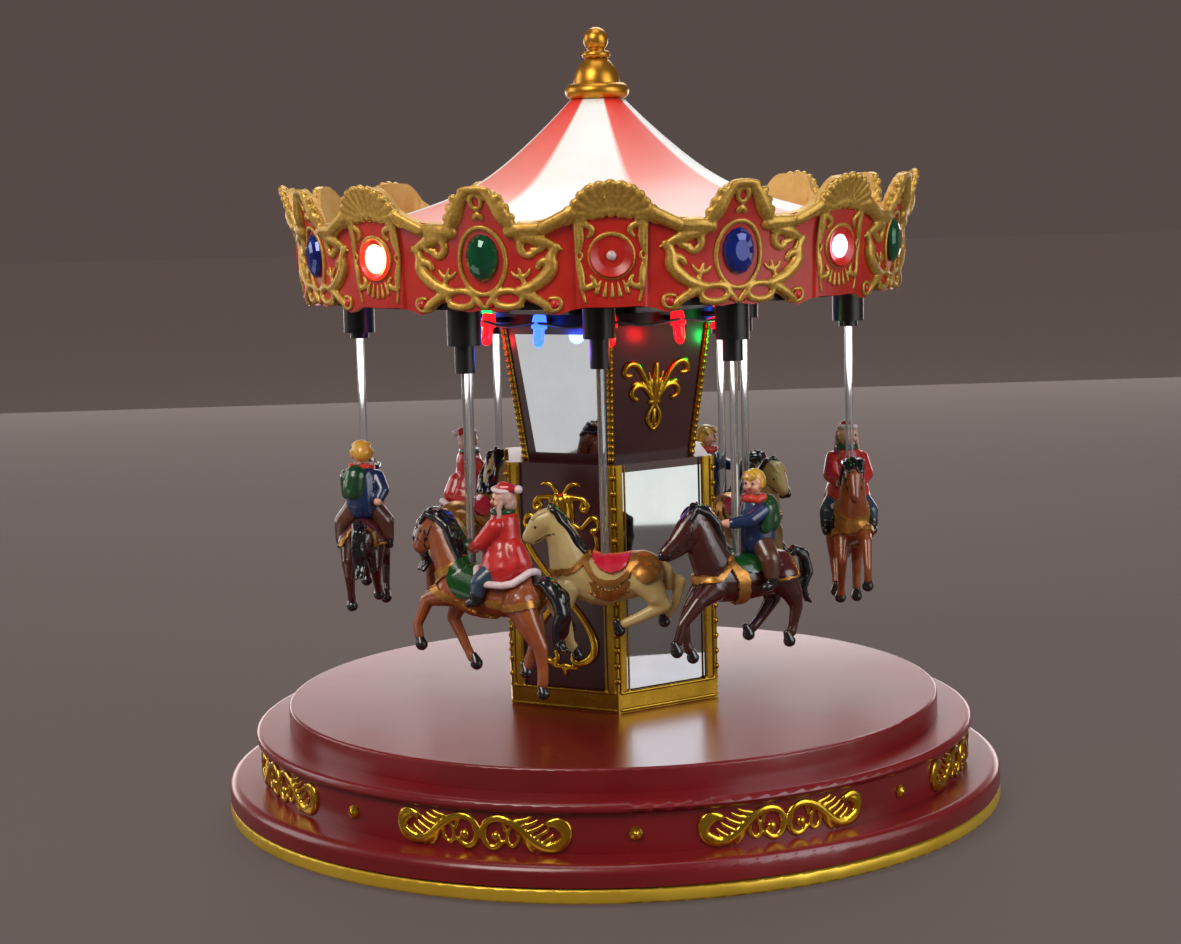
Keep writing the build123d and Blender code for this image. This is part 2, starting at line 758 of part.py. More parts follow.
def make_canopy_floor():
    """Disc with a hanger tube and a pair of arm guides for each horse."""
    rim = crown_foot_radius - crown_wall - 1.2
    plate = disc(rim, floor_bottom, floor_top) - disc(neck_radius + 2.0, floor_bottom - 1, floor_top + 1)
    for theta, circle in horse_places():
        where = spot(theta, circle, 0)
        plate += post(where.X, where.Y, hanger_radius, hanger_bottom, floor_bottom)
        for side in (-1, 1):
            guide_place = facing(theta, circle - 7.0, floor_top)
            offset = side * (arm_width / 2 + free_gap + guide_wall / 2)
            plate += guide_place * Pos(offset, guide_height / 2 - 0.2, 0) * Box(
                guide_wall, guide_height + 0.4, guide_length
            )
    for theta, circle in horse_places():
        where = spot(theta, circle, 0)
        plate -= post(where.X, where.Y, sleeve_radius + running_gap, hanger_bottom - 1, floor_top + 1)
    return plate


def crown_radius(z):
    """Outside radius of the crown: nearly upright below, flared at the top."""
    share = (z - crown_bottom) / crown_height
    bulge = crown_waist_radius - crown_foot_radius
    flare = crown_top_radius - crown_waist_radius
    lower = bulge * min(1.0, share / 0.45)
    return crown_foot_radius + lower + flare * max(0.0, (share - 0.45) / 0.55) ** 1.5


def make_crown():
    """Flared ring with a crest over each unit, seats for gems and lamps, and two ledges."""
    levels = [crown_bottom + crown_height * share for share in (0, 0.45, 0.75, 1)]
    outside = [(crown_radius(z), z) for z in levels]
    inside = [(r - crown_wall, z) for r, z in reversed(outside)]
    body = lathe(*(outside + inside))
    floor_ledge = crown_radius(floor_top) - crown_wall - 1.0
    body += ring(floor_ledge + 1.6, floor_ledge - ledge_width, floor_top, floor_top + ledge_thickness)
    body += ring(
        crown_waist_radius - crown_wall + 0.6,
        crown_waist_radius - crown_wall - ledge_width,
        tent_foot - ledge_thickness,
        tent_foot,
    )
    units = 2 * unit_count
    pitch = 360 / units
    valley = crown_valley_depth
    for k in range(units):
        theta = crown_phase + pitch * (k + 0.5)
        level = crown_top + 0.6
        body -= facing(theta, crown_top_radius, level) * Cylinder(valley, 30)
        place = facing(theta, crown_foot_radius, crown_bottom - 3.4)
        body -= place * Cylinder(7.6, 16)
    level = crown_bottom + crown_height * 0.47
    for k in range(unit_count):
        cup_plane = facing(crown_phase + 360 / unit_count * k, crown_waist_radius - 1.6, level)
        body += cup_plane * Pos(0, 0, 1.8) * Cylinder(cup_radius + 1.4, 3.6)
        body -= cup_plane * Pos(0, 0, 3.7) * Cone(
            lamp_radius + 1, cup_radius, cup_depth, align=(Align.CENTER, Align.CENTER, Align.MAX)
        )
        body -= cup_plane * Cylinder(lamp_radius, 30)
    for k in range(unit_count):
        gem_plane = facing(crown_phase + 360 / unit_count * (k + 0.5), crown_waist_radius - 1.6, level)
        bezel = Ellipse(gem_width / 2 + bezel_width, gem_height / 2 + bezel_width)
        body += extrude(gem_plane * bezel, 3.2)
        pocket = Ellipse(gem_width / 2, gem_height / 2)
        body -= extrude(gem_plane.offset(1.0) * pocket, 6)
    return body


def make_crown_gems():
    level = crown_bottom + crown_height * 0.47
    gems = []
    for k in range(unit_count):
        plane = facing(crown_phase + 360 / unit_count * (k + 0.5), crown_waist_radius - 0.6, level)
        gem = extrude(Ellipse(gem_width / 2, gem_height / 2), gem_depth)
        gem = chamfer(gem.faces().sort_by(Axis.Z)[-1].edges(), gem_depth * 0.45)
        gems.append(plane * gem)
    return group(gems)


def make_crown_lamps():
    level = crown_bottom + crown_height * 0.47
    lamps = []
    for k in range(unit_count):
        plane = facing(crown_phase + 360 / unit_count * k, crown_waist_radius - 1.6, level)
        lamp = plane * Pos(0, 0, -lamp_length / 2 + 1.4) * Cylinder(lamp_radius, lamp_length)
        lamp += plane * Pos(0, 0, 1.4) * Sphere(lamp_radius * 0.98)
        lamps.append(lamp)
    return group(lamps)


# shares of the run inwards and the rise, from the tent's foot to its top
tent_shape = [
    (0.0, 0.0),
    (0.207, 0.065),
    (0.384, 0.16),
    (0.635, 0.361),
    (0.829, 0.66),
    (0.926, 0.845),
    (1.0, 1.0),
]


def make_tent():
    """Bell-curved roof with a flat collar that the shaft passes through."""
    foot_radius = crown_waist_radius - crown_wall - 0.4
    run = foot_radius - tent_top_radius
    rise = tent_rise - tent_wall
    outer = [(foot_radius - run * u, tent_foot + tent_wall + rise * v) for u, v in tent_shape]
    inner = [(r - tent_wall * 0.55, z - tent_wall) for r, z in outer]
    outer_line = Spline(*[(r, 0, z) for r, z in outer])
    inner_line = Spline(*[(r, 0, z) for r, z in inner])
    collar_in = shaft_radius
    top_r, top_z = outer[-1]
    low_r, low_z = inner[-1]
    collar = Polyline(
        (top_r, 0, top_z), (collar_in, 0, top_z), (collar_in, 0, low_z), (low_r, 0, low_z)
    )
    foot = Line((inner[0][0], 0, inner[0][1]), (outer[0][0], 0, outer[0][1]))
    section = make_face(Wire([*outer_line.edges(), *collar.edges(), *inner_line.edges(), *foot.edges()]))
    return revolve(section, Axis.Z)


def make_finial():
    """Turned knob: a thick rolled foot, a bell, a collar and a ball."""
    level = tent_top
    foot = Pos(0, 0, level + 3.1) * (Torus(9.2, 3.0) + Cylinder(9.4, 6.0))
    bell_line = ThreePointArc((8.9, 0, level + 6.0), (7.6, 0, level + 11.2), (4.0, 0, level + 15.4))
    bell_foot = [(0, 0, level + 5.0), (8.9, 0, level + 5.0), (8.9, 0, level + 6.0)]
    bell_close = Polyline((4.0, 0, level + 15.4), (0, 0, level + 15.4), *bell_foot)
    bell = revolve(make_face(Wire([*bell_line.edges(), *bell_close.edges()])), Axis.Z)
    collar = Pos(0, 0, level + 16.8) * (Torus(4.1, 1.35) + Cylinder(4.2, 2.6))
    ball = Pos(0, 0, level + 22.3) * Sphere(4.75)
    knob = foot + bell + collar + ball + disc(3.4, level + 14, level + 19.5)
    return knob - disc(shaft_radius, level - 1, level + 7)


# ------------------------------------------------------------------ horses
def horse_body():
    """Prancing horse with its saddle at the origin, heading along +X."""
    pieces = [Pos(10.4, 0, -8.0) * Sphere(9.0)]
    pieces += [taper((11, 0, -8.2), 8.3, (-12, 0, -7.6), 7.8), Pos(-12, 0, -7.6) * Sphere(8.4)]
    pieces += limb((13, 0, -4.0), 6.4, (20, 0, 10.5), 4.0)
    pieces += limb((20, 0, 11.5), 3.9, (27, 0, 5.4), 2.3)
    pieces += limb((-18, 0, -4.0), 2.6, (-25, 0, -12), 3.2)
    pieces += limb((-25, 0, -12), 3.0, (-26, 0, -22), 1.5)
    for side, lead in ((-1, 3.0), (1, -2.0)):
        y = 3.9 * side
        pieces += limb((11, y, -11), 4.2, (19 + lead, y, -18 + lead), 2.5)
        pieces += limb((19 + lead, y, -18 + lead), 2.3, (13 + 2 * lead, y, -31 + lead), 1.7)
        pieces += limb((-12, 3.5 * side, -10), 5.9, (-21 + lead, y, -17), 2.9)
        pieces += limb((-21 + lead, y, -17), 2.6, (-17 + 2 * lead, y, -31 - lead), 1.7)
    return pieces


def rider_body():
    """Seated child behind the pole, with the knees forward."""
    pieces = [taper((-9, 0, -3), 5.8, (-8.6, 0, 14), 3.6), Pos(-8.4, 0, 20.5) * Sphere(4.7)]
    pieces.append(taper((-8.6, 0, 12), 2.0, (-8.4, 0, 19), 2.2))
    for side in (-1, 1):
        pieces += limb((-9, 3.0 * side, 0.0), 3.4, (-2.0, 8.6 * side, -4.0), 2.5)
        pieces += limb((-2.0, 8.6 * side, -4.0), 2.4, (-3.5, 9.4 * side, -14), 1.8)
        pieces += limb((-8.6, 3.6 * side, 11.5), 2.2, (-0.6, 3.4 * side, 6.0), 1.5)
    return pieces


def horse_place(theta, circle, saddle):
    """Stand a figure under its pole, heading clockwise round the ring as seen from above."""
    where = spot(theta, circle, saddle)
    return Pos(where.X, where.Y, where.Z) * Rot(0, 0, 180 + theta)


def make_lifts():
    """Sleeve with its follower arm, clear rod and horse of each place on the ring."""
    bore = disc(rod_radius, -rod_seat, 60)
    plain_pieces = horse_body()
    plain = plain_pieces[0].fuse(*plain_pieces[1:]) - bore
    ridden_pieces = plain_pieces + rider_body()
    ridden = ridden_pieces[0].fuse(*ridden_pieces[1:]) - bore
    for number, (theta, circle) in enumerate(horse_places(), start=1):
        lift = lift_at(theta)
        sleeve_bottom = hanger_bottom - lift
        arm_bottom = arm_bottom_low + lift_low - lift
        arm_top = arm_bottom + arm_height
        where = spot(theta, circle, 0)
        sleeve = post(where.X, where.Y, sleeve_radius, sleeve_bottom, arm_top)
        tip = cam_radius + free_gap
        bar = (circle - tip) / 2
        level = arm_bottom + arm_height / 2
        sleeve += facing(theta, tip + pin_radius + bar, level) * Box(arm_width, arm_height, 2 * bar)
        sleeve += facing(theta, tip + 3.0, level) * Cylinder(pin_radius, 6.0)
        saddle = sleeve_bottom - rod_length
        rod_bottom = saddle - rod_seat
        rod_top = arm_top - 4
        sleeve -= post(where.X, where.Y, rod_radius, sleeve_bottom - 1, rod_top)
        parts[f"lift_sleeve_{number}"] = sleeve
        parts[f"pole_{number}"] = post(where.X, where.Y, rod_radius, rod_bottom, rod_top)
        figure = plain if circle == inner_circle else ridden
        parts[f"horse_{number}"] = horse_place(theta, circle, saddle) * figure


# ------------------------------------------------------------------ all nodes
parts["bottom_plate"] = make_bottom_plate()
parts["gold_rim_band"] = make_gold_band()
parts["base_housing"] = make_base_housing()
parts["deck"] = make_deck()
parts["base_scrolls"] = make_scrolls()
parts["rubber_feet"] = make_feet()
parts["base_screws"] = make_screws()
parts["drive_motor"] = make_drive_motor()
parts["motor_pinion"] = make_motor_pinion()
parts["main_gear"] = make_main_gear()
parts["speaker"] = make_speaker()
parts["control_board"] = make_control_board()
parts["power_inlet"] = make_power_inlet()
parts["power_switch"] = make_power_switch()
parts["volume_dial"] = make_volume_dial()
parts["shaft_bushes"] = make_shaft_bushes()
parts["main_shaft"] = make_main_shaft()
parts["slip_ring"] = make_slip_ring()
parts["tower_lower_shell"] = make_tower_lower()
parts["tower_upper_shell"] = make_tower_upper()
parts["tower_mirrors"] = make_tower_mirrors()
parts["tower_gilt_trim"] = make_gilt_trim()
parts["tower_ornaments"] = make_tower_ornaments()
parts["tower_cap"] = make_tower_cap()
parts["string_light_bulbs"] = make_string_lights()
parts["string_light_wire"] = make_light_wire()
parts["cam_ring"] = make_cam_ring()
parts["canopy_floor"] = make_canopy_floor()
parts["crown"] = make_crown()
parts["crown_gems"] = make_crown_gems()
parts["crown_lamps"] = make_crown_lamps()
parts["canopy_tent"] = make_tent()
parts["finial"] = make_finial()
make_lifts()

os.makedirs("parts", exist_ok=True)
for name, shape in parts.items():
    export_step(shape, f"parts/{name}.step")
print(len(parts), "nodes")
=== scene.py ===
import bpy
import math
from mathutils import Matrix, Vector
from mathutils.bvhtree import BVHTree


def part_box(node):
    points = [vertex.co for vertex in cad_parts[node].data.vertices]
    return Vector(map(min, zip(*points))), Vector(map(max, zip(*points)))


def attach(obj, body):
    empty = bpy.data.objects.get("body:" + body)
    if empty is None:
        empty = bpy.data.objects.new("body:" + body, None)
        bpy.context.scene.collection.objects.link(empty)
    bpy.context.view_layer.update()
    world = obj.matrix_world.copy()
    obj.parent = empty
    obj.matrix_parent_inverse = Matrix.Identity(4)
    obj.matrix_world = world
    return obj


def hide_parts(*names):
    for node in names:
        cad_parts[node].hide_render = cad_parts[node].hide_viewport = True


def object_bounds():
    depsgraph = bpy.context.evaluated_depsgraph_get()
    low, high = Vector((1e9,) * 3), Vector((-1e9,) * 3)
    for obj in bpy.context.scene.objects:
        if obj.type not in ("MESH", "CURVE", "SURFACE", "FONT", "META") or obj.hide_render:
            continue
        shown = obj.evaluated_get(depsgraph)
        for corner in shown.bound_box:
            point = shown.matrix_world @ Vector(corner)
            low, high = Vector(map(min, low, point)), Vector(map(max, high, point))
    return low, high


bl_info = {
    "name": "Table-top merry-go-round",
    "version": (1, 0, 0),
    "blender": (4, 5, 0),
    "location": "View3D > Sidebar > Merry-go-round",
    "description": "Dresses the merry-go-round: crown, horses and riders, gilding, lights and finishes",
    "category": "Object",
}

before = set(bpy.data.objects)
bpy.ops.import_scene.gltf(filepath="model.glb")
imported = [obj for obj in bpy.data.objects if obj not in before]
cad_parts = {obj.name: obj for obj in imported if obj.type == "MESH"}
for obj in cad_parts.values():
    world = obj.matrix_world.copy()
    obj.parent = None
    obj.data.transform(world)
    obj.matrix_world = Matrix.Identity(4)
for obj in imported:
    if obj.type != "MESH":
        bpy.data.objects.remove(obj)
cad_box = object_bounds()

MM = 0.001

# Sizes in mm: heights and the crown's radii come from the frame, the rest repeat the part's own sizes.
# Directions are degrees from the front (-Y) towards +X.
UNITS = 8
UNIT_TURN = 360 / UNITS
FRONT = -1.0
CROWN_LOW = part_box("crown")[0].z / MM
CROWN_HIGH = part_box("crown")[1].z / MM
CROWN_MIDDLE = CROWN_LOW + 0.47 * (CROWN_HIGH - CROWN_LOW)
CROWN_TOP_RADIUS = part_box("crown")[1].x / MM
CROWN_FOOT_RADIUS = CROWN_TOP_RADIUS - 7.0
CROWN_WAIST_RADIUS = CROWN_TOP_RADIUS - 5.7
CROWN_WALL = 2.4
FRIEZE_RADIUS = 136.5
FRIEZE_MIDDLE = 21.5
TOWER_RADIUS = 43.8
UPPER_FOOT_RADIUS = 35.8
UPPER_TOP_RADIUS = 44.1
TOWER_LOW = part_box("tower_lower_shell")[0].z / MM
TOWER_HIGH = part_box("tower_lower_shell")[1].z / MM
UPPER_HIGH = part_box("tower_upper_shell")[1].z / MM
HORSE_SEAT = 9.0
LAMP_CIRCLE = 50.7
LAMP_LEAN = 9.0
LAMP_DROP = 2.2

# ------------------------------------------------------------------ finishes


def linear(hex_colour):
    """Linear RGBA of an sRGB hex colour."""
    shares = [int(hex_colour[i:i + 2], 16) / 255 for i in (1, 3, 5)]
    return tuple(c / 12.92 if c <= 0.04045 else ((c + 0.055) / 1.055) ** 2.4 for c in shares) + (1.0,)


def add_node(tree, kind, inputs=None, **settings):
    """Adds a node with its settings; an input is a value, or a socket to link from."""
    node = tree.nodes.new(kind)
    for name, value in settings.items():
        setattr(node, name, value)
    for key, value in (inputs or {}).items():
        if isinstance(value, bpy.types.NodeSocket):
            tree.links.new(value, node.inputs[key])
        else:
            node.inputs[key].default_value = value
    return node


def finish(name, colour, second, patch_mm, rough, grain_mm=0.0, depth_mm=0.0, hollow_shade=None, **shader):
    """A material with two mottled tones, uneven gloss, a fine relief, and painted shade darkening the
    hollows.
    """
    material = bpy.data.materials.new(name)
    material.use_nodes = True
    tree = material.node_tree
    tree.nodes.clear()
    place = add_node(tree, "ShaderNodeTexCoord").outputs["Object"]
    patches = add_node(tree, "ShaderNodeTexNoise",
                       {"Vector": place, "Scale": 1 / (patch_mm * MM), "Detail": 4.0, "Roughness": 0.6})
    spread = add_node(tree, "ShaderNodeMapRange",
                      {"Value": patches.outputs["Fac"], "From Min": 0.35, "From Max": 0.65})
    tone = add_node(tree, "ShaderNodeMix",
                    {"Factor": spread.outputs["Result"], 6: linear(colour), 7: linear(second)},
                    data_type="RGBA").outputs[2]
    # Painted shade: where the surface turns inwards, the colour is mixed towards the given dark tone.
    if hollow_shade:
        hollow = add_node(tree, "ShaderNodeNewGeometry").outputs["Pointiness"]
        share = add_node(tree, "ShaderNodeMapRange",
                         {"Value": hollow, "From Min": 0.42, "From Max": 0.5, "To Min": 0.85, "To Max": 0.0})
        tone = add_node(tree, "ShaderNodeMix", {"Factor": share.outputs["Result"], 6: tone, 7: linear(hollow_shade)},
                        data_type="RGBA").outputs[2]
    gloss = add_node(tree, "ShaderNodeMapRange",
                     {"Value": patches.outputs["Fac"], "To Min": rough * 0.75, "To Max": rough * 1.25})
    inputs = {"Base Color": tone, "Roughness": gloss.outputs["Result"]}
    if grain_mm:
        grain = add_node(tree, "ShaderNodeTexNoise",
                         {"Vector": place, "Scale": 1 / (grain_mm * MM), "Detail": 3.0})
        relief = add_node(tree, "ShaderNodeBump",
                          {"Height": grain.outputs["Fac"], "Distance": depth_mm * MM, "Strength": 0.6})
        inputs["Normal"] = relief.outputs["Normal"]
    inputs.update({key.replace("_", " "): value for key, value in shader.items()})
    surface = add_node(tree, "ShaderNodeBsdfPrincipled", inputs)
    add_node(tree, "ShaderNodeOutputMaterial", {"Surface": surface.outputs["BSDF"]})
    return material


def make_finishes():
    """Every finish on the object, by the short name that the operators use."""
    made = {}
    # Burgundy ABS, injection moulded: deep red with a soft shine.
    made["burgundy"] = finish("burgundy_moulded_abs", "#6A0F14", "#781318", 60, 0.3, 1.5, 0.006,
                              Coat_Weight=0.3, Coat_Roughness=0.16)
    # Dark maroon lacquer sprayed over the tower mouldings: almost black in the shade.
    made["maroon"] = finish("maroon_sprayed_lacquer", "#33070B", "#3F0A0E", 25, 0.3, 1.0, 0.006,
                            Coat_Weight=0.25, Coat_Roughness=0.12)
    # Red acrylic paint on moulded ABS: a satin, slightly uneven coat, with painted shade darkening the
    # hollows.
    made["crown_red"] = finish("red_painted_abs", "#B01C14", "#C2281A", 12, 0.36, 0.8, 0.02, hollow_shade="#6A0C0C",
                               Coat_Weight=0.2, Coat_Roughness=0.2)
    # Gold hobby paint brushed on the raised crown work: soft, grainy metal flake, with painted shade
    # darkening the hollows.
    made["crown_gold"] = finish("gold_brushed_paint", "#B58A34", "#D3AC55", 1.2, 0.42, 0.3, 0.06,
                                hollow_shade="#6E4210", Metallic=0.6)
    # Pale gold spray inside the crown: thin and creamy.
    made["crown_back"] = finish("pale_gold_spray", "#D8B26A", "#C99C50", 8, 0.5, 0.6, 0.02, Metallic=0.3)
    # Bright gilding on the base and tower mouldings: vacuum-metallised plastic, with painted shade darkening
    # the hollows.
    made["gilt"] = finish("gilt_metallised_plastic", "#D8AE34", "#C99C26", 6, 0.22, 0.9, 0.02,
                          hollow_shade="#5E3A06", Metallic=0.95)
    # The same gilding on the large plain mouldings, without the shading in the hollows.
    made["gilt_plain"] = finish("gilt_plain_moulding", "#B08A26", "#9A741C", 9, 0.28, 0.9, 0.02, Metallic=0.9)
    # Yellow gold satin paint on the lowest band.
    made["band"] = finish("gold_satin_band", "#E2BE3C", "#D4AC30", 30, 0.38, 0.7, 0.015, Metallic=0.55)
    # Finial: turned plastic in warm satin gold lacquer.
    made["finial"] = finish("gold_satin_lacquer", "#C98F2E", "#BC8227", 14, 0.33, 0.7, 0.01, Metallic=0.85)
    # Black acetal and ABS: matt moulded sleeves, lids and inner works.
    made["black"] = finish("black_moulded_acetal", "#0B0B0C", "#131314", 10, 0.35, 0.6, 0.01)
    # Glass-clear cast acrylic rod, faintly grey along its length.
    made["rod"] = finish("clear_cast_acrylic", "#E8EEF0", "#DDE6E8", 15, 0.06,
                         Transmission_Weight=0.9, IOR=1.49)
    # Silvered acrylic mirror.
    made["mirror"] = finish("silvered_acrylic_mirror", "#C6CACC", "#BEC3C6", 20, 0.03, Metallic=1.0)
    # Faceted acrylic stones over foil: deep, wet colour with a bright edge.
    made["gem_green"] = finish("green_acrylic_stone", "#03603A", "#024A30", 6, 0.05,
                               Metallic=0.35, Coat_Weight=1.0, Coat_Roughness=0.02)
    made["gem_blue"] = finish("blue_acrylic_stone", "#0B2C93", "#081F72", 6, 0.05,
                              Metallic=0.35, Coat_Weight=1.0, Coat_Roughness=0.02)
    # Small moulded lamps. The lit ones glow through their own colour.
    for shade, colour, glow in (("red", "#E8141C", 2.2), ("blue", "#2A50FF", 5.0), ("green", "#10E060", 2.6)):
        made["lamp_" + shade] = finish(shade + "_lamp_plastic", colour, colour, 4, 0.12,
                                       Emission_Color=linear(colour), Emission_Strength=glow)
    made["led_warm"] = finish("warm_led_lens", "#FFE9A8", "#FFF3CF", 3, 0.15,
                              Emission_Color=linear("#FFD98A"), Emission_Strength=9.0)
    made["led_pink"] = finish("pink_led_lens", "#FFD7E6", "#FFE6F0", 3, 0.15,
                              Emission_Color=linear("#FFB8D6"), Emission_Strength=4.0)
    made["led_off"] = finish("clear_led_lens", "#B9A9A6", "#CFC4C2", 3, 0.1, Coat_Weight=0.6)
    # Red cup with painted light: the cup beside the lit LED glows as if lit from within.
    made["cup_painted_glow"] = finish("red_cup_painted_glow", "#D8201C", "#E02C22", 5, 0.3,
                             Emission_Color=linear("#FF2A18"), Emission_Strength=1.2)
    # Casting resin, hand painted and varnished. Painted shade darkens every hollow.
    varnish = {"Coat_Weight": 0.6, "Coat_Roughness": 0.12}
    made["chestnut"] = finish("chestnut_painted_resin", "#9A4E22", "#7C3A1A", 7, 0.34, 0.7, 0.04,
                              hollow_shade="#2A0E06", **varnish)
    made["bay"] = finish("dark_bay_painted_resin", "#44190F", "#351210", 7, 0.26, 0.7, 0.04,
                         hollow_shade="#0C0404", **varnish)
    made["cream"] = finish("cream_painted_resin", "#CDB87E", "#BFA767", 8, 0.42, 0.7, 0.04,
                           hollow_shade="#5E4520", Coat_Weight=0.3, Coat_Roughness=0.2)
    made["hair"] = finish("black_painted_mane", "#0E0D10", "#17161A", 3, 0.2, 0.5, 0.05, **varnish)
    made["hoof"] = finish("black_painted_hoof", "#131012", "#1D1616", 3, 0.25, 0.5, 0.02, **varnish)
    made["tack"] = finish("old_gold_painted_tack", "#C08A45", "#A8702F", 2.2, 0.36, 0.4, 0.05,
                          hollow_shade="#3E1F0B", Metallic=0.7)
    made["strap"] = finish("black_painted_strap", "#241512", "#1A0F0D", 3, 0.35, 0.4, 0.01)
    made["saddle_green"] = finish("green_painted_saddle", "#0C4A18", "#0A3A14", 4, 0.22, 0.5, 0.02,
                                  hollow_shade="#03140A", **varnish)
    made["saddle_red"] = finish("crimson_painted_saddle", "#C91F33", "#D92B46", 4, 0.25, 0.5, 0.02,
                                hollow_shade="#7A0F20", **varnish)
    made["coat_red"] = finish("red_painted_coat", "#B01C1E", "#C52A28", 4, 0.3, 0.6, 0.05,
                              hollow_shade="#560A0E", **varnish)
    made["fur"] = finish("white_painted_fur", "#E3D2D2", "#D8BDC2", 2, 0.45, 0.45, 0.12, hollow_shade="#9A5A66")
    made["blanket"] = finish("maroon_painted_blanket", "#4A1216", "#5A1A1C", 4, 0.3, 0.5, 0.04,
                             hollow_shade="#180506", **varnish)
    made["plait"] = finish("pale_painted_hair", "#CBA79C", "#B98E80", 2, 0.4, 0.45, 0.08, hollow_shade="#7A4038")
    made["coat_navy"] = finish("navy_painted_coat", "#0F2148", "#12305A", 5, 0.3, 0.6, 0.05,
                               hollow_shade="#040812", **varnish)
    made["coat_green"] = finish("green_painted_cloth", "#0D4A22", "#0A3A1C", 4, 0.3, 0.6, 0.05,
                                hollow_shade="#03140A", **varnish)
    made["trousers"] = finish("brown_painted_cloth", "#4A281A", "#5A3322", 4, 0.3, 0.6, 0.05,
                              hollow_shade="#180A06", **varnish)
    made["stocking"] = finish("slate_painted_cloth", "#26394C", "#31475C", 4, 0.32, 0.6, 0.05,
                              hollow_shade="#0B1119", **varnish)
    made["skin"] = finish("flesh_painted_resin", "#DDA184", "#E3AC92", 4, 0.4, 0.5, 0.01,
                          hollow_shade="#9A5540", Coat_Weight=0.3, Coat_Roughness=0.2)
    made["blond"] = finish("blond_painted_hair", "#CF9524", "#DDAA3C", 2, 0.35, 0.4, 0.06,
                           hollow_shade="#6E420C", **varnish)
    made["scarf"] = finish("coral_painted_scarf", "#D0432E", "#BE3524", 2, 0.35, 0.4, 0.05, hollow_shade="#6E160E")
    made["lips"] = finish("red_painted_lips", "#B8302C", "#A82724", 2, 0.35)
    # Works under the base.
    made["steel"] = finish("zinc_plated_steel", "#9FA3A6", "#8C9094", 5, 0.3, Metallic=1.0)
    made["brass"] = finish("sintered_bronze_bush", "#A37B3A", "#8F6A30", 3, 0.35, 0.3, 0.01, Metallic=1.0)
    made["acetal"] = finish("white_moulded_acetal", "#DADAD2", "#CFCFC6", 10, 0.4, 0.6, 0.01)
    made["fibreboard"] = finish("green_coated_fibreboard", "#0F5A30", "#0C4A28", 9, 0.35, 0.5, 0.01)
    made["rubber"] = finish("black_moulded_rubber", "#141414", "#1C1B1A", 6, 0.75, 0.5, 0.03)
    made["wire"] = finish("grey_pvc_wire", "#6E7076", "#5C5E66", 6, 0.4)
    made["tent"] = tent_finish()
    return made


def tent_finish():
    """Milk-white vacuum-formed sheet with four coral stripes airbrushed on, fading towards the foot."""
    material = finish("airbrushed_vacuum_formed_sheet", "#F4F1EE", "#FBFAF8", 40, 0.42, 1.2, 0.006,
                      Subsurface_Weight=0.25, Subsurface_Scale=0.004)
    tree = material.node_tree
    surface = next(n for n in tree.nodes if n.type == "BSDF_PRINCIPLED")
    white = surface.inputs["Base Color"].links[0].from_socket
    place = add_node(tree, "ShaderNodeTexCoord").outputs["Object"]
    axes = add_node(tree, "ShaderNodeSeparateXYZ", {"Vector": place})
    turn = add_node(tree, "ShaderNodeMath", {0: axes.outputs["Y"], 1: axes.outputs["X"]},
                    operation="ARCTAN2").outputs[0]
    stripes = 4.0
    white_middle = math.radians(-90 - 12)
    phase = add_node(tree, "ShaderNodeMath", {0: turn, 1: stripes, 2: -stripes * white_middle},
                     operation="MULTIPLY_ADD").outputs[0]
    wave = add_node(tree, "ShaderNodeMath", {0: phase}, operation="COSINE").outputs[0]
    soft = add_node(tree, "ShaderNodeMapRange", {"Value": wave, "From Min": 0.13, "From Max": -0.13})
    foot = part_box("canopy_tent")[0].z
    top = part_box("canopy_tent")[1].z
    fade = add_node(tree, "ShaderNodeMapRange",
                    {"Value": axes.outputs["Z"], "From Min": foot, "From Max": top}).outputs["Result"]
    coral = add_node(tree, "ShaderNodeMix", {"Factor": fade, 6: linear("#F7B4AA"), 7: linear("#E8382C")},
                     data_type="RGBA").outputs[2]
    colour = add_node(tree, "ShaderNodeMix", {"Factor": soft.outputs["Result"], 6: white, 7: coral},
                      data_type="RGBA").outputs[2]
    tree.links.new(colour, surface.inputs["Base Color"])
    return material


FINISH = {}

# ------------------------------------------------------------------ hands


def let_go():
    """Nothing is being edited and nothing is selected."""
    if bpy.context.object and bpy.context.object.mode != "OBJECT":
        bpy.ops.object.mode_set(mode="OBJECT")
    bpy.ops.object.select_all(action="DESELECT")


def hold(*pieces):
    """Selects these pieces alone, the first one active."""
    let_go()
    for piece in pieces:
        piece.select_set(True)
    bpy.context.view_layer.objects.active = pieces[0]


def work(piece, kind, **settings):
    """Adds a modifier to the piece and applies it."""
    hold(piece)
    modifier = piece.modifiers.new(kind.lower(), kind)
    for name, value in settings.items():
        setattr(modifier, name, value)
    bpy.ops.object.modifier_apply(modifier=modifier.name)


def join(name, pieces):
    """One object of several, with a material slot for each finish among them."""
    hold(*pieces)
    if len(pieces) > 1:
        bpy.ops.object.join()
    piece = bpy.context.object
    piece.name = name
    piece.data.name = name
    return piece


def smooth(piece, angle=None):
    """Smooth shading, with creases where the surface turns by more than the angle."""
    hold(piece)
    if angle is None:
        bpy.ops.object.shade_smooth()
    else:
        bpy.ops.object.shade_smooth_by_angle(angle=math.radians(angle))


def paint(piece, finish_name):
    piece.data.materials.clear()
    piece.data.materials.append(FINISH[finish_name])
    return piece


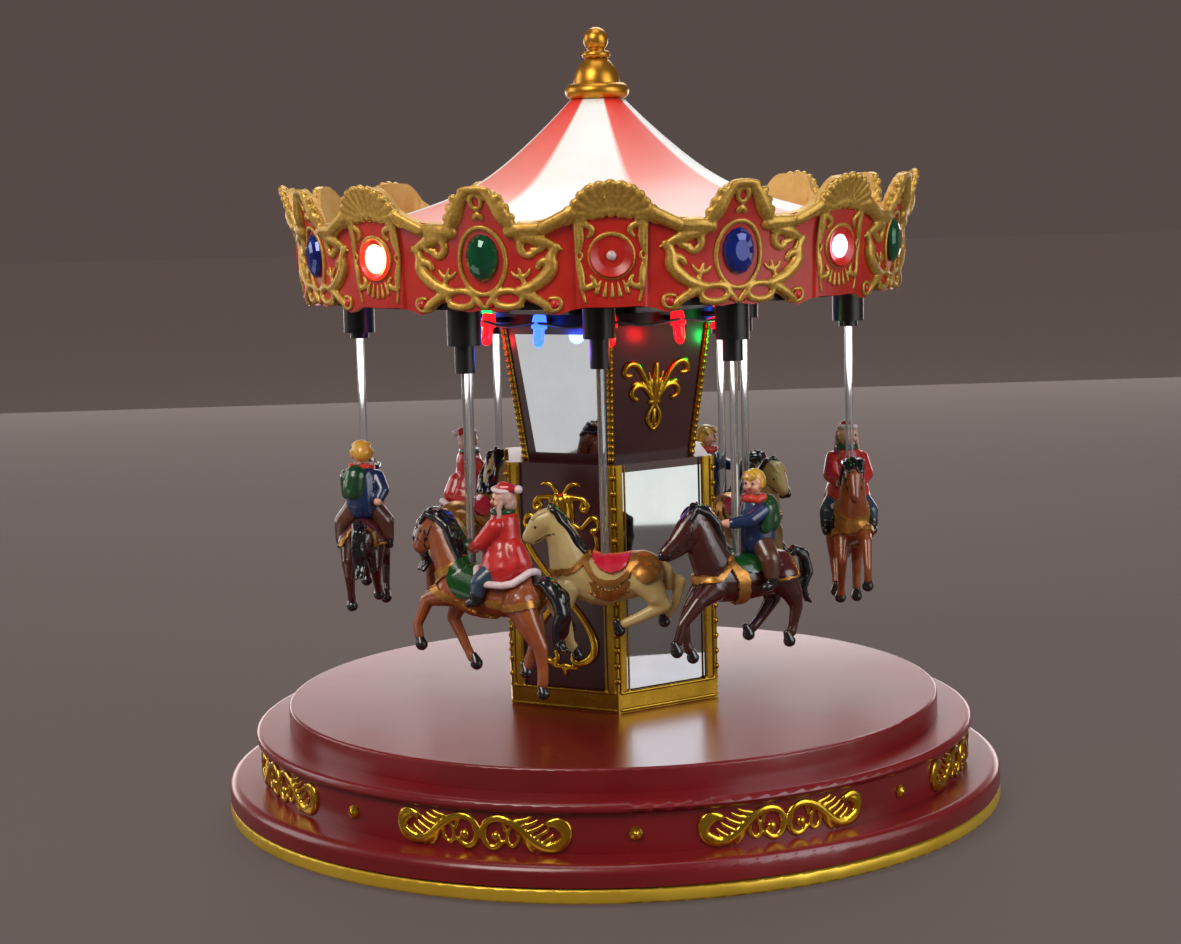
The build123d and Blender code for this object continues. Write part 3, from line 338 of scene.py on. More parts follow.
def carry(node, finish_name, angle=50):
    """Gives a node of the frame its finish and even shading, without touching its mesh."""
    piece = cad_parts[node]
    paint(piece, finish_name)
    piece.data.polygons.foreach_set("use_smooth", [True] * len(piece.data.polygons))
    weld = piece.modifiers.new("weld", "WELD")
    weld.merge_threshold = 0.00001
    crease = piece.modifiers.new("crease", "EDGE_SPLIT")
    crease.split_angle = math.radians(angle)
    even = piece.modifiers.new("even", "WEIGHTED_NORMAL")
    even.weight = 100
    even.thresh = 0.1
    return piece


def give(piece, body, record_slot, *nodes):
    """The piece rides on its body and stands for its nodes, which it hides; record_slot is not used."""
    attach(piece, body)
    if nodes:
        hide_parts(*nodes)
    let_go()


def place_at(theta, radius, z):
    """Matrix with x to the right, y up and z outwards, at a direction, radius and height in mm."""
    a = math.radians(theta)
    out = Vector((math.sin(a), -math.cos(a), 0))
    right = Vector((math.cos(a), math.sin(a), 0))
    matrix = Matrix((right, Vector((0, 0, 1)), out)).transposed().to_4x4()
    matrix.translation = (out * radius + Vector((0, 0, z))) * MM
    return matrix


def copy_at(piece, matrix):
    """A copy with its own mesh, the place worked into it."""
    twin = piece.copy()
    twin.data = piece.data.copy()
    bpy.context.collection.objects.link(twin)
    twin.data.transform(matrix)
    return twin


# ------------------------------------------------------------------ clay: figures


def clay(name, finish_name, strands, grain=0.5, passes=3, keep=0.45, flat=1.0):
    """A form built up from tapered strands of (x, y, z, radius) in mm, run together and smoothed."""
    let_go()
    first = strands[0][0]
    bpy.ops.mesh.primitive_ico_sphere_add(subdivisions=2, radius=first[3] * MM,
                                          location=[c * MM for c in first[:3]])
    piece = bpy.context.object
    piece.name = name
    hold(piece)
    bpy.ops.object.transform_apply(location=True, rotation=False, scale=False)
    bpy.ops.object.mode_set(mode="EDIT")
    for strand in strands:
        balls = [Vector(p[:3]) * MM for p in strand]
        for centre, point in zip(balls, strand):
            bpy.ops.mesh.primitive_ico_sphere_add(subdivisions=2, radius=point[3] * MM, location=centre)
        for start, end, low, high in zip(balls, balls[1:], strand, strand[1:]):
            along = end - start
            bpy.ops.mesh.primitive_cone_add(
                vertices=16, radius1=low[3] * MM, radius2=high[3] * MM, depth=along.length,
                location=(start + end) / 2, rotation=along.to_track_quat("Z", "Y").to_euler())
    bpy.ops.object.mode_set(mode="OBJECT")
    if flat != 1.0:
        piece.data.transform(Matrix.Diagonal((1, flat, 1, 1)))
    work(piece, "REMESH", mode="VOXEL", voxel_size=grain * MM)
    work(piece, "SMOOTH", factor=0.5, iterations=passes)
    if keep < 1.0:
        work(piece, "DECIMATE", ratio=keep)
    smooth(piece)
    return paint(piece, finish_name)


def laid_on(name, finish_name, body, where, thickness):
    """A thin layer that follows the body's surface wherever where(x, y, z) in mm is true."""
    let_go()
    layer = body.copy()
    layer.data = body.data.copy()
    bpy.context.collection.objects.link(layer)
    layer.name = name
    hold(layer)
    bpy.ops.object.mode_set(mode="EDIT")
    bpy.ops.mesh.select_mode(type="VERT")
    bpy.ops.object.mode_set(mode="OBJECT")
    for vertex in layer.data.vertices:
        vertex.select = not where(*(vertex.co / MM))
    bpy.ops.object.mode_set(mode="EDIT")
    bpy.ops.mesh.delete(type="VERT")
    bpy.ops.object.mode_set(mode="OBJECT")
    if not layer.data.polygons:
        raise RuntimeError(name + " covers no part of its body")
    work(layer, "SMOOTH", factor=0.5, iterations=5)
    work(layer, "DECIMATE", ratio=0.5)
    work(layer, "SOLIDIFY", thickness=thickness * 1.6 * MM, offset=0.25)
    smooth(layer, 50)
    return paint(layer, finish_name)


def near_line(points, half):
    """A test of x, z against a chain of straight runs: true within half of it."""
    runs = list(zip(points, points[1:]))

    def test(x, y, z):
        for (ax, az), (bx, bz) in runs:
            dx, dz = bx - ax, bz - az
            t = max(0.0, min(1.0, ((x - ax) * dx + (z - az) * dz) / (dx * dx + dz * dz)))
            if math.hypot(x - ax - t * dx, z - az - t * dz) < half:
                return True
        return False
    return test


def oval(cx, cz, rx, rz, inner=0.0):
    """A test of x, z against an oval, or an oval band from the inner share outwards."""
    def test(x, y, z):
        share = math.hypot((x - cx) / rx, (z - cz) / rz)
        return inner <= share < 1.0
    return test


def studs_on(name, finish_name, body, points, radius):
    """Small round studs pressed onto both flanks of the body, at points (x, z)."""
    tree = BVHTree.FromPolygons([v.co for v in body.data.vertices],
                                [p.vertices for p in body.data.polygons])
    let_go()
    bpy.ops.mesh.primitive_ico_sphere_add(subdivisions=1, radius=radius * MM)
    piece = bpy.context.object
    piece.name = name
    stud = piece.data.copy()
    spots = []
    for x, z in points:
        for side in (1, -1):
            hit = tree.ray_cast(Vector((x, 40 * side, z)) * MM, Vector((0, -side, 0)))
            if hit[0] is not None:
                spots.append(hit[0])
    verts = [v.co + spot for spot in spots for v in stud.vertices]
    count = len(stud.vertices)
    faces = [[i + k * count for i in p.vertices] for k in range(len(spots)) for p in stud.polygons]
    piece.data.clear_geometry()
    piece.data.from_pydata(verts, [], faces)
    smooth(piece)
    return paint(piece, finish_name)


def along_line(points, step):
    """Points (x, z) at an even step along a chain of straight runs."""
    made = []
    for (ax, az), (bx, bz) in zip(points, points[1:]):
        count = max(1, round(math.hypot(bx - ax, bz - az) / step))
        made += [(ax + (bx - ax) * k / count, az + (bz - az) * k / count) for k in range(count)]
    return made + [points[-1]]


def tresses(crest, wide, radius, wave=0.5):
    """Wavy locks side by side along a crest line of (x, z, swell): a mane or a tail."""
    fine = []
    for (ax, az, a), (bx, bz, b) in zip(crest, crest[1:]):
        fine += [(ax, az, a), ((ax + bx) / 2, (az + bz) / 2, (a + b) / 2)]
    fine.append(crest[-1])
    strands = []
    for j in range(6):
        side = wide * (j - 2.5) / 2.5
        strand = []
        for i, (x, z, swell) in enumerate(fine):
            turn = 1.25 * i + 2.1 * j
            lift = wave * math.cos(turn) - 0.35 * abs(side)
            strand.append((x + wave * math.sin(turn), side + 0.5 * wave * math.cos(turn), z + lift,
                           0.66 * radius * swell))
        strands.append(strand)
    return strands


def ears(x, z, spread=1.7, tall=2.6):
    return [[(x, side * spread, z, 1.15), (x - 0.3, side * (spread + 0.5), z + tall, 0.35)]
            for side in (1, -1)]


def horse_tack_line(name, body, line, half, thickness=0.9):
    return laid_on(name, "tack", body, near_line(line, half), thickness)


def cream_horse():
    """A riderless horse in cream with a crimson saddle, galloping low."""
    body = clay("cream_body", "cream", [
        [(11, 0, -6.6, 8.6), (2, 0, -10.0, 9.2), (-7, 0, -9.0, 8.2), (-13.4, 0, -7.6, 8.0)],
        [(12.5, 0, -4, 8.0), (14.6, 0, 4, 6.2), (16.8, 0, 10.6, 5.2)],
        [(18.6, 0, 13.6, 4.2), (22.6, 0, 12.2, 4.3), (25.2, 0, 9.2, 3.5), (27.4, 0, 6.8, 2.6)],
        [(18.6, 0, 10.4, 3.6), (23.6, 0, 7.4, 2.4), (26.6, 0, 5.6, 1.9)],
        [(13.5, 4.6, -11.5, 4.6), (15.5, 5.6, -19.5, 2.5), (13.4, 5.2, -31.5, 1.8), (12.2, 5.2, -33.6, 2.0)],
        [(14.5, -4.6, -10.5, 4.4), (22, -5.6, -15.2, 2.4), (17.8, -5.6, -23.6, 1.7),
         (15.6, -5.6, -25.4, 1.9)],
        [(-14, 5, -9, 6.2), (-18.2, 5.8, -14.8, 4.4), (-21.2, 5.8, -18.4, 2.8), (-12, 5.6, -22.8, 2.0),
         (-6.6, 5.6, -25, 1.9)],
        [(-16, -5, -8, 5.6), (-21.5, -5.8, -10.4, 4.0), (-26.8, -5.8, -11.8, 2.5), (-25.4, -5.6, -19, 1.8),
         (-22.4, -5.6, -23.4, 1.8)],
        [(-20, 0, -3.4, 1.9), (-22.6, -1.5, -6.5, 2.1), (-22.8, -2.0, -13, 1.3)],
    ] + ears(19.6, 16.2, 2.2), keep=1.0, flat=0.82)
    crest = [(19.2, 18.2, 0.9), (16.6, 16.0, 1.1), (14.0, 12.6, 1.2), (11.8, 8.8, 1.2), (9.6, 5.2, 1.1),
             (7.6, 2.6, 0.9)]
    parts = [body]
    parts.append(clay("cream_mane", "hair", tresses(crest, 3.0, 1.7, 0.45), 0.32, 1, 0.35))
    parts.append(clay("cream_forelock", "cream", [
        [(20.4, y, 16.4, 0.9), (23.2, y * 1.1, 15.6, 1.0), (26.2, y * 1.2, 13.6, 0.6)]
        for y in (-1.6, 0, 1.6)],
        0.42, 1))
    hooves = [(11.0, 4.3, -35.4), (14.0, -4.6, -26.9), (-4.2, 4.6, -26.6), (-20.6, -4.6, -25.4)]
    parts.append(hooves_of(hooves, (-0.8, 0, -1.0)))
    parts.append(laid_on("cream_seat", "saddle_red", body, oval(-2.4, 1.0, 7.6, 7.4), 1.3))
    skirt = oval(-1.4, 0.5, 10.2, 11.6, 0.74)
    parts.append(laid_on("cream_skirt", "tack", body, lambda x, y, z: skirt(x, y, z) and z < 0.2, 1.1))
    parts.append(laid_on("cream_fringe", "tack", body,
                         lambda x, y, z: oval(-1.4, -0.5, 9.2, 16.0, 0.74)(x, y, z) and z < -8.5, 0.6))
    beads = [(-1.4 + r * 0.92 * math.sin(a * 0.16), -0.5 - r * 1.28 * math.cos(a * 0.16))
             for r in (9.2, 10.7, 12.0) for a in range(-4, 5)]
    parts.append(studs_on("cream_beads", "tack", body, beads, 0.75))
    parts.append(laid_on("cream_rump_cloth", "tack", body,
                         lambda x, y, z: oval(-14.6, 0.0, 6.4, 9.6)(x, y, z) and x < -8.6, 1.0))
    rosettes = [(-14.5 + 3.0 * math.cos(k * 1.05), -5.2 + 2.6 * math.sin(k * 1.05)) for k in range(6)]
    parts.append(studs_on("cream_rosettes", "tack", body, rosettes + [(-14.5, -5.2)], 1.0))
    collar = [(6.4, 0.0), (11.5, -4.6), (20.4, -5.8)]
    parts.append(horse_tack_line("cream_collar", body, collar, 1.5))
    parts.append(studs_on("cream_collar_studs", "tack", body, along_line(collar[1:], 2.0), 0.9))
    parts.append(laid_on("cream_bridle", "strap", body,
                         near_line([(17.6, 8.6), (21.5, 7.6), (25.2, 5.2)], 0.45), 0.45))
    parts.append(eyes_of([(25.0, 10.8)], body, 0.62))
    work(body, "DECIMATE", ratio=0.5)
    return join("cream_horse", parts)


def hooves_of(spots, lean):
    """Flared hooves below the fetlocks."""
    strands = [[(x - lean[0], y, z + 2.2, 1.3), (x, y, z + 0.4, 1.9), (x + lean[0] * 0.4, y, z - 0.9, 2.35)]
               for x, y, z in spots]
    return clay("hooves", "hoof", strands, 0.36, 1)


def eyes_of(points, body, radius):
    return studs_on("eyes", "hair", body, points, radius)


def chestnut_horse():
    """A chestnut with a black mane and tail, rearing forward under its rider."""
    body = clay("chestnut_body", "chestnut", [
        [(6, 0, -8, 8.4), (-4, 0, -10.6, 8.4), (-13, 0, -10.8, 8.2), (-22, 0, -10.4, 8.4)],
        [(6.6, 0, -4.5, 7.6), (10.8, 0, 4, 6.2), (13.6, 0, 10.4, 5.0)],
        [(15.2, 0, 14.4, 4.1), (18.2, 0, 11.0, 4.2), (20.8, 0, 7.0, 3.2), (22.6, 0, 4.4, 2.6)],
        [(14.8, 0, 9.8, 3.4), (20.2, 0, 4.8, 2.2), (22.0, 0, 3.0, 1.7)],
        [(8.5, 4.6, -11.5, 4.6), (16.4, 5.6, -13.6, 2.7), (21.4, 5.6, -23.4, 1.8), (20.8, 5.6, -27.6, 1.9)],
        [(7, -4.6, -13, 4.4), (12, -5.4, -21.6, 2.5), (5.6, -5.4, -33.6, 1.7), (4.4, -5.4, -35.6, 2.0)],
        [(-22, 5, -12, 6.2), (-26.6, 5.8, -20, 4.6), (-31.2, 5.8, -27.4, 2.8), (-31.8, 5.6, -35, 2.1),
         (-31.6, 5.6, -40.2, 2.1)],
        [(-20, -5, -13, 5.8), (-22.4, -5.8, -20, 4.0), (-24.2, -5.8, -26, 2.6), (-20.6, -5.6, -33.4, 1.8),
         (-19.6, -5.6, -36.4, 2.0)],
    ] + ears(14.4, 16.8, 2.3), keep=1.0, flat=0.82)
    crest = [(20.4, 14.6, 0.6), (17.0, 17.6, 1.0), (12.4, 17.0, 1.35), (8.6, 13.4, 1.5), (6.0, 8.6, 1.5),
             (4.2, 3.6, 1.3), (4.4, -0.8, 0.8)]
    tail = [(-27.0, -4.6, 1.1), (-32.0, -5.2, 1.6), (-36.6, -9.6, 1.9), (-38.0, -15.6, 1.9),
            (-36.6, -21.4, 1.5), (-35.0, -25.4, 1.0), (-38.2, -28.4, 0.5)]
    parts = [body]
    parts.append(clay("chestnut_hair", "hair", tresses(crest, 2.9, 1.75, 0.5) + tresses(tail, 1.7, 1.9, 0.5),
                      0.32, 1, 0.35))
    parts.append(hooves_of([(20.2, 4.6, -29.6), (2.8, -4.5, -37.0), (-31.4, 4.6, -43.0),
                            (-18.6, -4.6, -38.4)],
                           (-0.8, 0, -1.0)))
    seat = oval(-1.0, -4.4, 7.4, 7.6)
    parts.append(laid_on("chestnut_seat", "saddle_green", body, seat, 1.2))
    breast = [(3.6, -1.2), (9.0, -3.2), (14.6, -8.0)]
    girth = [(13.2, -9.0), (4.6, -13.2), (-2.6, -17.6), (-9.0, -19.4)]
    flank = [(-11.0, -12.8), (-19.0, -13.8), (-29.0, -12.2)]
    parts.append(horse_tack_line("chestnut_collar", body, breast, 2.2))
    parts.append(horse_tack_line("chestnut_girth", body, girth, 1.7))
    parts.append(horse_tack_line("chestnut_breeching", body, flank, 1.7))
    studs = along_line(breast, 1.9) + along_line(girth, 1.9) + along_line(flank, 1.9)
    parts.append(studs_on("chestnut_studs", "tack", body, studs, 0.85))
    parts.append(laid_on("chestnut_bridle", "strap", body, lambda x, y, z:
                         near_line([(14.4, 12.6), (18.4, 6.6)], 0.4)(x, y, z)
                         or near_line([(17.6, 12.8), (19.0, 4.4)], 0.4)(x, y, z)
                         or near_line([(22.0, 8.0), (18.6, 5.0)], 0.4)(x, y, z), 0.4))
    parts.append(eyes_of([(19.8, 10.6)], body, 0.62))
    work(body, "DECIMATE", ratio=0.5)
    return parts


def bay_horse():
    """A dark bay with its head stretched down and its tail arched."""
    body = clay("bay_body", "bay", [
        [(9.4, 0, -9.4, 8.2), (1, 0, -10.4, 8.2), (-8, 0, -10.0, 7.8), (-16, 0, -9.4, 8.0)],
        [(9.8, 0, -4.2, 7.8), (13.4, 0, 3.4, 6.8), (15.4, 0, 9.4, 5.7)],
        [(16.6, 0, 13.0, 4.6), (20.4, 0, 9.2, 4.6), (25, 0, 5.0, 3.3), (29.2, 0, 2.0, 2.6)],
        [(17.6, 0, 7.4, 4.0), (23.8, 0, 2.4, 2.6), (28.2, 0, 0.4, 1.8)],
        [(11.5, 4.6, -12, 4.8), (18.2, 5.6, -15.8, 3.0), (25.6, 5.6, -23.2, 2.0), (27.8, 5.6, -29.2, 2.0)],
        [(12, -4.6, -13, 4.6), (17.4, -5.4, -19, 2.8), (19.6, -5.4, -24, 2.1), (18.6, -5.4, -32, 1.7),
         (17.8, -5.4, -34.4, 2.0)],
        [(-16.5, 5, -11, 6.0), (-20.2, 5.8, -17, 4.0), (-21.8, 5.8, -21.6, 2.6), (-20.4, 5.6, -28.6, 1.8),
         (-19.6, 5.6, -31, 2.0)],
        [(-14.6, -5, -12, 5.4), (-18.2, -5.8, -19.4, 3.1), (-12.4, -5.6, -26.6, 1.9),
         (-9.2, -5.6, -29.6, 1.9)],
    ] + ears(15.0, 16.6, 2.3, 2.2), keep=1.0, flat=0.82)
    crest = [(20.6, 14.0, 0.7), (17.2, 17.4, 1.1), (12.8, 16.2, 1.3), (9.8, 11.4, 1.35), (7.6, 6.0, 1.3),
             (5.8, 1.4, 1.0), (5.0, -1.2, 0.6)]
    tail = [(-20.6, -3.6, 0.9), (-24.4, -1.8, 1.2), (-28.4, -4.2, 1.4), (-29.4, -10.6, 1.3),
            (-27.6, -16.4, 1.0), (-30.0, -21.0, 0.45)]
    parts = [body]
    parts.append(clay("bay_hair", "hair", tresses(crest, 2.9, 1.6, 0.5) + tresses(tail, 1.3, 1.7, 0.5),
                      0.32, 1, 0.35))
    parts.append(clay("bay_muzzle", "hair", [[(28.6, 0, 1.4, 2.5), (30.4, 0, 1.0, 1.9)]], 0.42, 1, flat=0.85))
    parts.append(hooves_of([(28.4, 4.6, -31.6), (16.6, -4.4, -36.6), (-18.4, 4.6, -33.2),
                            (-7.0, -4.6, -31.0)],
                           (-0.8, 0, -1.0)))
    parts.append(laid_on("bay_seat", "saddle_green", body, oval(-3.6, -1.0, 8.4, 7.0), 1.2))
    band = [(17.6, -8.8), (11.0, -8.2), (5.0, -3.4)]
    breast = [(4.8, -3.0), (1.6, -9.0), (0.4, -16.0)]
    parts.append(horse_tack_line("bay_collar", body, band, 1.5))
    parts.append(horse_tack_line("bay_breastplate", body, breast, 2.7, 1.1))
    parts.append(studs_on("bay_studs", "tack", body,
                          along_line(band, 2.6) + along_line([(3.4, -5), (1.2, -14)], 2.2), 0.9))
    parts.append(laid_on("bay_blanket", "blanket", body,
                         lambda x, y, z: -20.5 < x < -11.0 and z > -10.0, 0.7))
    edge = near_line([(-20.6, 0.0), (-20.8, -10.2), (-10.8, -10.8)], 0.8)
    parts.append(laid_on("bay_blanket_edge", "tack", body, edge, 1.0))
    parts.append(laid_on("bay_bridle", "strap", body, lambda x, y, z:
                         near_line([(15.6, 12.2), (19.4, 4.2)], 0.4)(x, y, z)
                         or near_line([(19.4, 12.6), (22.0, 2.8)], 0.4)(x, y, z)
                         or near_line([(26.6, 5.6), (24.0, 1.8)], 0.4)(x, y, z), 0.4))
    parts.append(eyes_of([(22.4, 8.6)], body, 0.62))
    work(body, "DECIMATE", ratio=0.5)
    return parts


def face(centre, radius, turn, hair_name):
    """A calm, plain face: eyes at half height, the nose halfway to the chin, a small mouth."""
    x, y, z = centre
    c, s = math.cos(math.radians(turn)), math.sin(math.radians(turn))

    def at(forward, side, up):
        return (x + forward * c - side * s, y + forward * s + side * c, z + up)
    r = radius
    head = clay("head", "skin", [
        [at(0, 0, 0.08 * r) + (r,), at(0.12 * r, 0, -0.42 * r) + (0.74 * r,)],
        [at(0.98 * r, 0, -0.12 * r) + (0.13 * r,), at(1.06 * r, 0, -0.3 * r) + (0.17 * r,)],
        [at(0.62 * r, 0.5 * r, -0.4 * r) + (0.3 * r,)],
        [at(0.62 * r, -0.5 * r, -0.4 * r) + (0.3 * r,)],
        [at(-0.1 * r, 0, -r) + (0.45 * r,), at(-0.2 * r, 0, -1.4 * r) + (0.5 * r,)],
    ], 0.4, 2, 0.7)
    eyes = clay("eyes", hair_name, [[at(0.93 * r, side * 0.36 * r, 0.04 * r) + (0.12 * r,)]
                                    for side in (1, -1)], 0.16, 0, 1.0)
    mouth = clay("mouth", "lips", [[at(0.88 * r, -0.16 * r, -0.55 * r) + (0.08 * r,),
                                    at(0.93 * r, 0, -0.58 * r) + (0.1 * r,),
                                    at(0.88 * r, 0.16 * r, -0.55 * r) + (0.08 * r,)]], 0.16, 0, 1.0)
    return [head, eyes, mouth]


def girl_rider():
    """A girl in a long red coat edged with white fur, both hands on the pole."""
    head = (-14.0, 0, 23.6)
    parts = face(head, 3.7, 42, "hair")
    parts.append(clay("coat", "coat_red", [
        [(-14.4, 0, 15.2, 5.4), (-14.0, 0, 9.0, 6.2), (-14.4, 0, 3.0, 8.2), (-14.8, 0, -0.4, 9.4)],
        [(-14.2, 5.4, 14.6, 3.0), (-9.0, 7.2, 8.6, 2.7), (-4.4, 4.4, 6.4, 2.3)],
        [(-14.2, -5.4, 14.6, 3.0), (-9.0, -7.2, 8.6, 2.7), (-4.4, -4.4, 6.4, 2.3)],
        [(-19.0, 1.5, 6.0, 4.2), (-20.5, 1.5, 1.0, 5.0)],
    ], 0.5, 2, 0.4))
    rim = []
    for k in range(21):
        a = k * math.tau / 20
        rim.append((-15.0 + 11.6 * math.cos(a), 9.0 * math.sin(a),
                    -1.6 - 4.6 * math.sin(a) ** 2 + 0.5 * math.sin(5 * a), 1.35))
    parts.append(clay("fur", "fur", [
        rim,
        [(-4.6, 4.3, 6.4, 1.9), (-3.6, 3.9, 6.2, 1.9)],
        [(-4.6, -4.3, 6.4, 1.9), (-3.6, -3.9, 6.2, 1.9)],
        [(-14.2 + 3.1 * math.cos(k * 0.63), 0.3 + 3.3 * math.sin(k * 0.63), 26.7 + 0.5 * math.cos(k * 0.63),
          0.95)
         for k in range(11)],
        [(-20.4, -0.6, 27.0, 1.6)],
        [(-7.4, 0.9, 11.0, 0.7)], [(-7.0, 0.9, 7.0, 0.7)], [(-5.6, 0.9, 2.6, 0.7)],
    ], 0.42, 1, 0.5))
    parts.append(clay("hat", "coat_red", [
        [(-14.4, 0, 26.8, 2.9), (-16.8, 0, 27.2, 2.2), (-19.4, -0.4, 27.2, 1.0)]], 0.42, 2))
    parts.append(clay("braids", "plait", [
        [(-15.2 + 0.3 * math.sin(2.0 * k), side * (3.4 + 0.16 * k), 24.6 - 1.1 * k, 1.05 - 0.04 * k)
         for k in range(9)] for side in (1, -1)] + [
        [(-15.2, 0.0, 24.2, 3.75)], [(-16.2, -0.6, 22.0, 3.0)]], 0.36, 0, 0.5))
    parts.append(clay("collar", "coat_green", [
        [(-14.0 + 3.3 * math.cos(k * 0.63), 3.5 * math.sin(k * 0.63), 19.0, 1.25) for k in range(11)],
        [(-2.6, 3.2, 6.4, 1.9), (-0.6, 2.6, 6.6, 1.6), (-1.4, 2.4, 8.2, 1.0)],
        [(-2.6, -3.2, 6.4, 1.9), (-0.6, -2.6, 6.6, 1.6), (-1.4, -2.4, 8.2, 1.0)],
    ], 0.42, 1, 0.5))
    parts.append(clay("stockings", "stocking", [
        [(-12.0, side * 5.0, -2.0, 4.2), (-8.4, side * 8.2, -5.6, 3.4), (-7.8, side * 8.8, -9.6, 2.5)]
        for side in (1, -1)], 0.45, 2))
    parts.append(boots((-7.6, 8.8, -9.4)))
    return parts


def boots(top):
    """A pair of short black riding boots with their toes forward."""
    x, y, z = top
    return clay("boots", "hoof", [
        [(x, side * y, z, 2.6), (x, side * y, z - 2.6, 2.2), (x + 3.0, side * (y + 0.3), z - 3.6, 1.7)]
        for side in (1, -1)], 0.42, 1)


def boy_rider():
    """A boy in a navy jacket and coral scarf, one arm held out past the pole."""
    head = (-7.6, 0.4, 23.6)
    parts = face(head, 3.8, 28, "hair")
    parts.append(clay("jacket", "coat_navy", [
        [(-8.6, 0, 14.6, 5.6), (-8.6, 0, 8.6, 6.4), (-8.6, 0, 3.4, 6.8)],
        [(-8.0, 5.6, 14.4, 3.0), (-2.0, 6.6, 11.4, 2.5), (4.4, 4.4, 10.6, 2.1)],
        [(-9.0, -5.6, 14.4, 3.0), (-12.4, -8.2, 9.6, 2.5), (-14.4, -6.6, 6.4, 2.1)],
    ], 0.5, 2, 0.4))
    parts.append(clay("jacket_back", "coat_green", [
        [(-11.4, 2.0, 15.2, 4.6), (-11.8, 2.6, 10.0, 4.8)],
        [(-9.4, 5.6, 14.8, 3.1), (-8.4, 6.0, 8.0, 2.4)]], 0.45, 2))
    parts.append(clay("hands", "skin", [[(5.6, 3.9, 10.6, 1.7), (7.2, 3.5, 10.8, 1.3)],
                                        [(-15.6, -6.4, 5.6, 1.7)]], 0.4, 1))
    parts.append(clay("scarf", "scarf", [
        [(-7.8 + 3.6 * math.cos(k * 0.63), 0.3 + 3.8 * math.sin(k * 0.63), 18.2 + 0.4 * math.sin(k * 2.5),
          1.5)
         for k in range(11)]], 0.42, 1, 0.5))
    parts.append(clay("hair", "blond", [
        [(-7.9, 0.2, 25.2, 3.75), (-9.3, -0.6, 23.8, 3.6)],
        [(-5.4, 3.0, 26.4, 1.3), (-4.6, 2.6, 25.2, 0.8)],
        [(-4.9, 0.6, 27.0, 1.3), (-3.8, 1.2, 25.9, 0.8)],
        [(-6.2, -2.4, 26.4, 1.4), (-5.0, -2.4, 25.0, 0.8)],
        [(-8.8, 3.4, 24.4, 1.2), (-8.6, 3.6, 22.4, 0.8)],
        [(-8.8, -3.6, 24.4, 1.2), (-8.8, -3.6, 22.4, 0.8)],
    ], 0.42, 1, 0.5))
    parts.append(clay("trousers", "trousers", [
        [(-8.6, side * 3.6, 2.0, 4.2), (-8.8, side * 8.0, -3.0, 3.7), (-9.0, side * 8.8, -9.0, 2.7)]
        for side in (1, -1)], 0.45, 2))
    parts.append(boots((-9.0, 8.8, -9.2)))
    return parts


def horse_seat(number):
    """Matrix from a horse's own frame, origin on its saddle at the pole, to its place on the canopy."""
    low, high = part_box("pole_%d" % number)
    middle = (low + high) / 2
    place = Vector((middle.x, middle.y, low.z + HORSE_SEAT * MM))
    heading = math.atan2(middle.y, middle.x) - math.pi / 2
    return Matrix.Translation(place) @ Matrix.Rotation(heading, 4, "Z")


# ------------------------------------------------------------------ scrollwork: gilded reliefs


def ring_of(cx, cy, rx, ry, half):
    """A closed oval stroke."""
    steps = 16
    return ("ring", [(cx + rx * math.cos(math.tau * k / steps), cy + ry * math.sin(math.tau * k / steps))
                     for k in range(steps)], (half, half, half))


def stroke(points, start, middle, end):
    return ("line", points, (start, middle, end))


def dot(x, y, radius):
    return ("dot", [(x, y)], (radius, radius, radius))


def mirrored(strokes):
    """The strokes and their mirror image across x = 0."""
    return strokes + [(kind, [(-x, y) for x, y in points], widths) for kind, points, widths in strokes]


def width_at(widths, share):
    start, middle, end = widths
    if share < 0.5:
        return start + (middle - start) * share * 2
    return middle + (end - middle) * (share - 0.5) * 2


def scrollwork(name, finish_name, strokes, rise=0.8, grain=0.4, keep=0.4, lift=0.2):
    """A flat relief of tapered strokes in mm, x across, y up and z outwards, run together."""
    let_go()
    curve = bpy.data.curves.new(name, "CURVE")
    curve.dimensions = "3D"
    curve.bevel_depth = MM
    curve.bevel_resolution = 2
    curve.use_fill_caps = True
    curve.resolution_u = 4
    dots = []
    for kind, points, widths in strokes:
        if kind == "dot":
            dots.append((points[0], widths[0]))
            continue
        spline = curve.splines.new("NURBS")
        spline.points.add(len(points) - 1)
        for k, (point, (x, y)) in enumerate(zip(spline.points, points)):
            point.co = (x * MM, y * MM, 0, 1)
            point.radius = width_at(widths, k / max(1, len(points) - 1))
        spline.order_u = 3
        if kind == "ring":
            spline.use_cyclic_u = True
        else:
            spline.use_endpoint_u = True
            dots.append((points[0], widths[0]))
            dots.append((points[-1], widths[2]))
    piece = bpy.data.objects.new(name, curve)
    bpy.context.collection.objects.link(piece)
    hold(piece)
    bpy.ops.object.convert(target="MESH")
    piece = bpy.context.object
    bpy.ops.object.mode_set(mode="EDIT")
    for (x, y), radius in dots:
        bpy.ops.mesh.primitive_ico_sphere_add(subdivisions=2, radius=radius * MM,
                                              location=(x * MM, y * MM, 0))
    bpy.ops.object.mode_set(mode="OBJECT")
    piece.data.transform(Matrix.Translation((0, 0, lift * MM)) @ Matrix.Diagonal((1, 1, rise, 1)))
    work(piece, "REMESH", mode="VOXEL", voxel_size=grain * MM)
    work(piece, "SMOOTH", factor=0.5, iterations=1)
    work(piece, "DECIMATE", ratio=keep)
    smooth(piece)
    return paint(piece, finish_name)


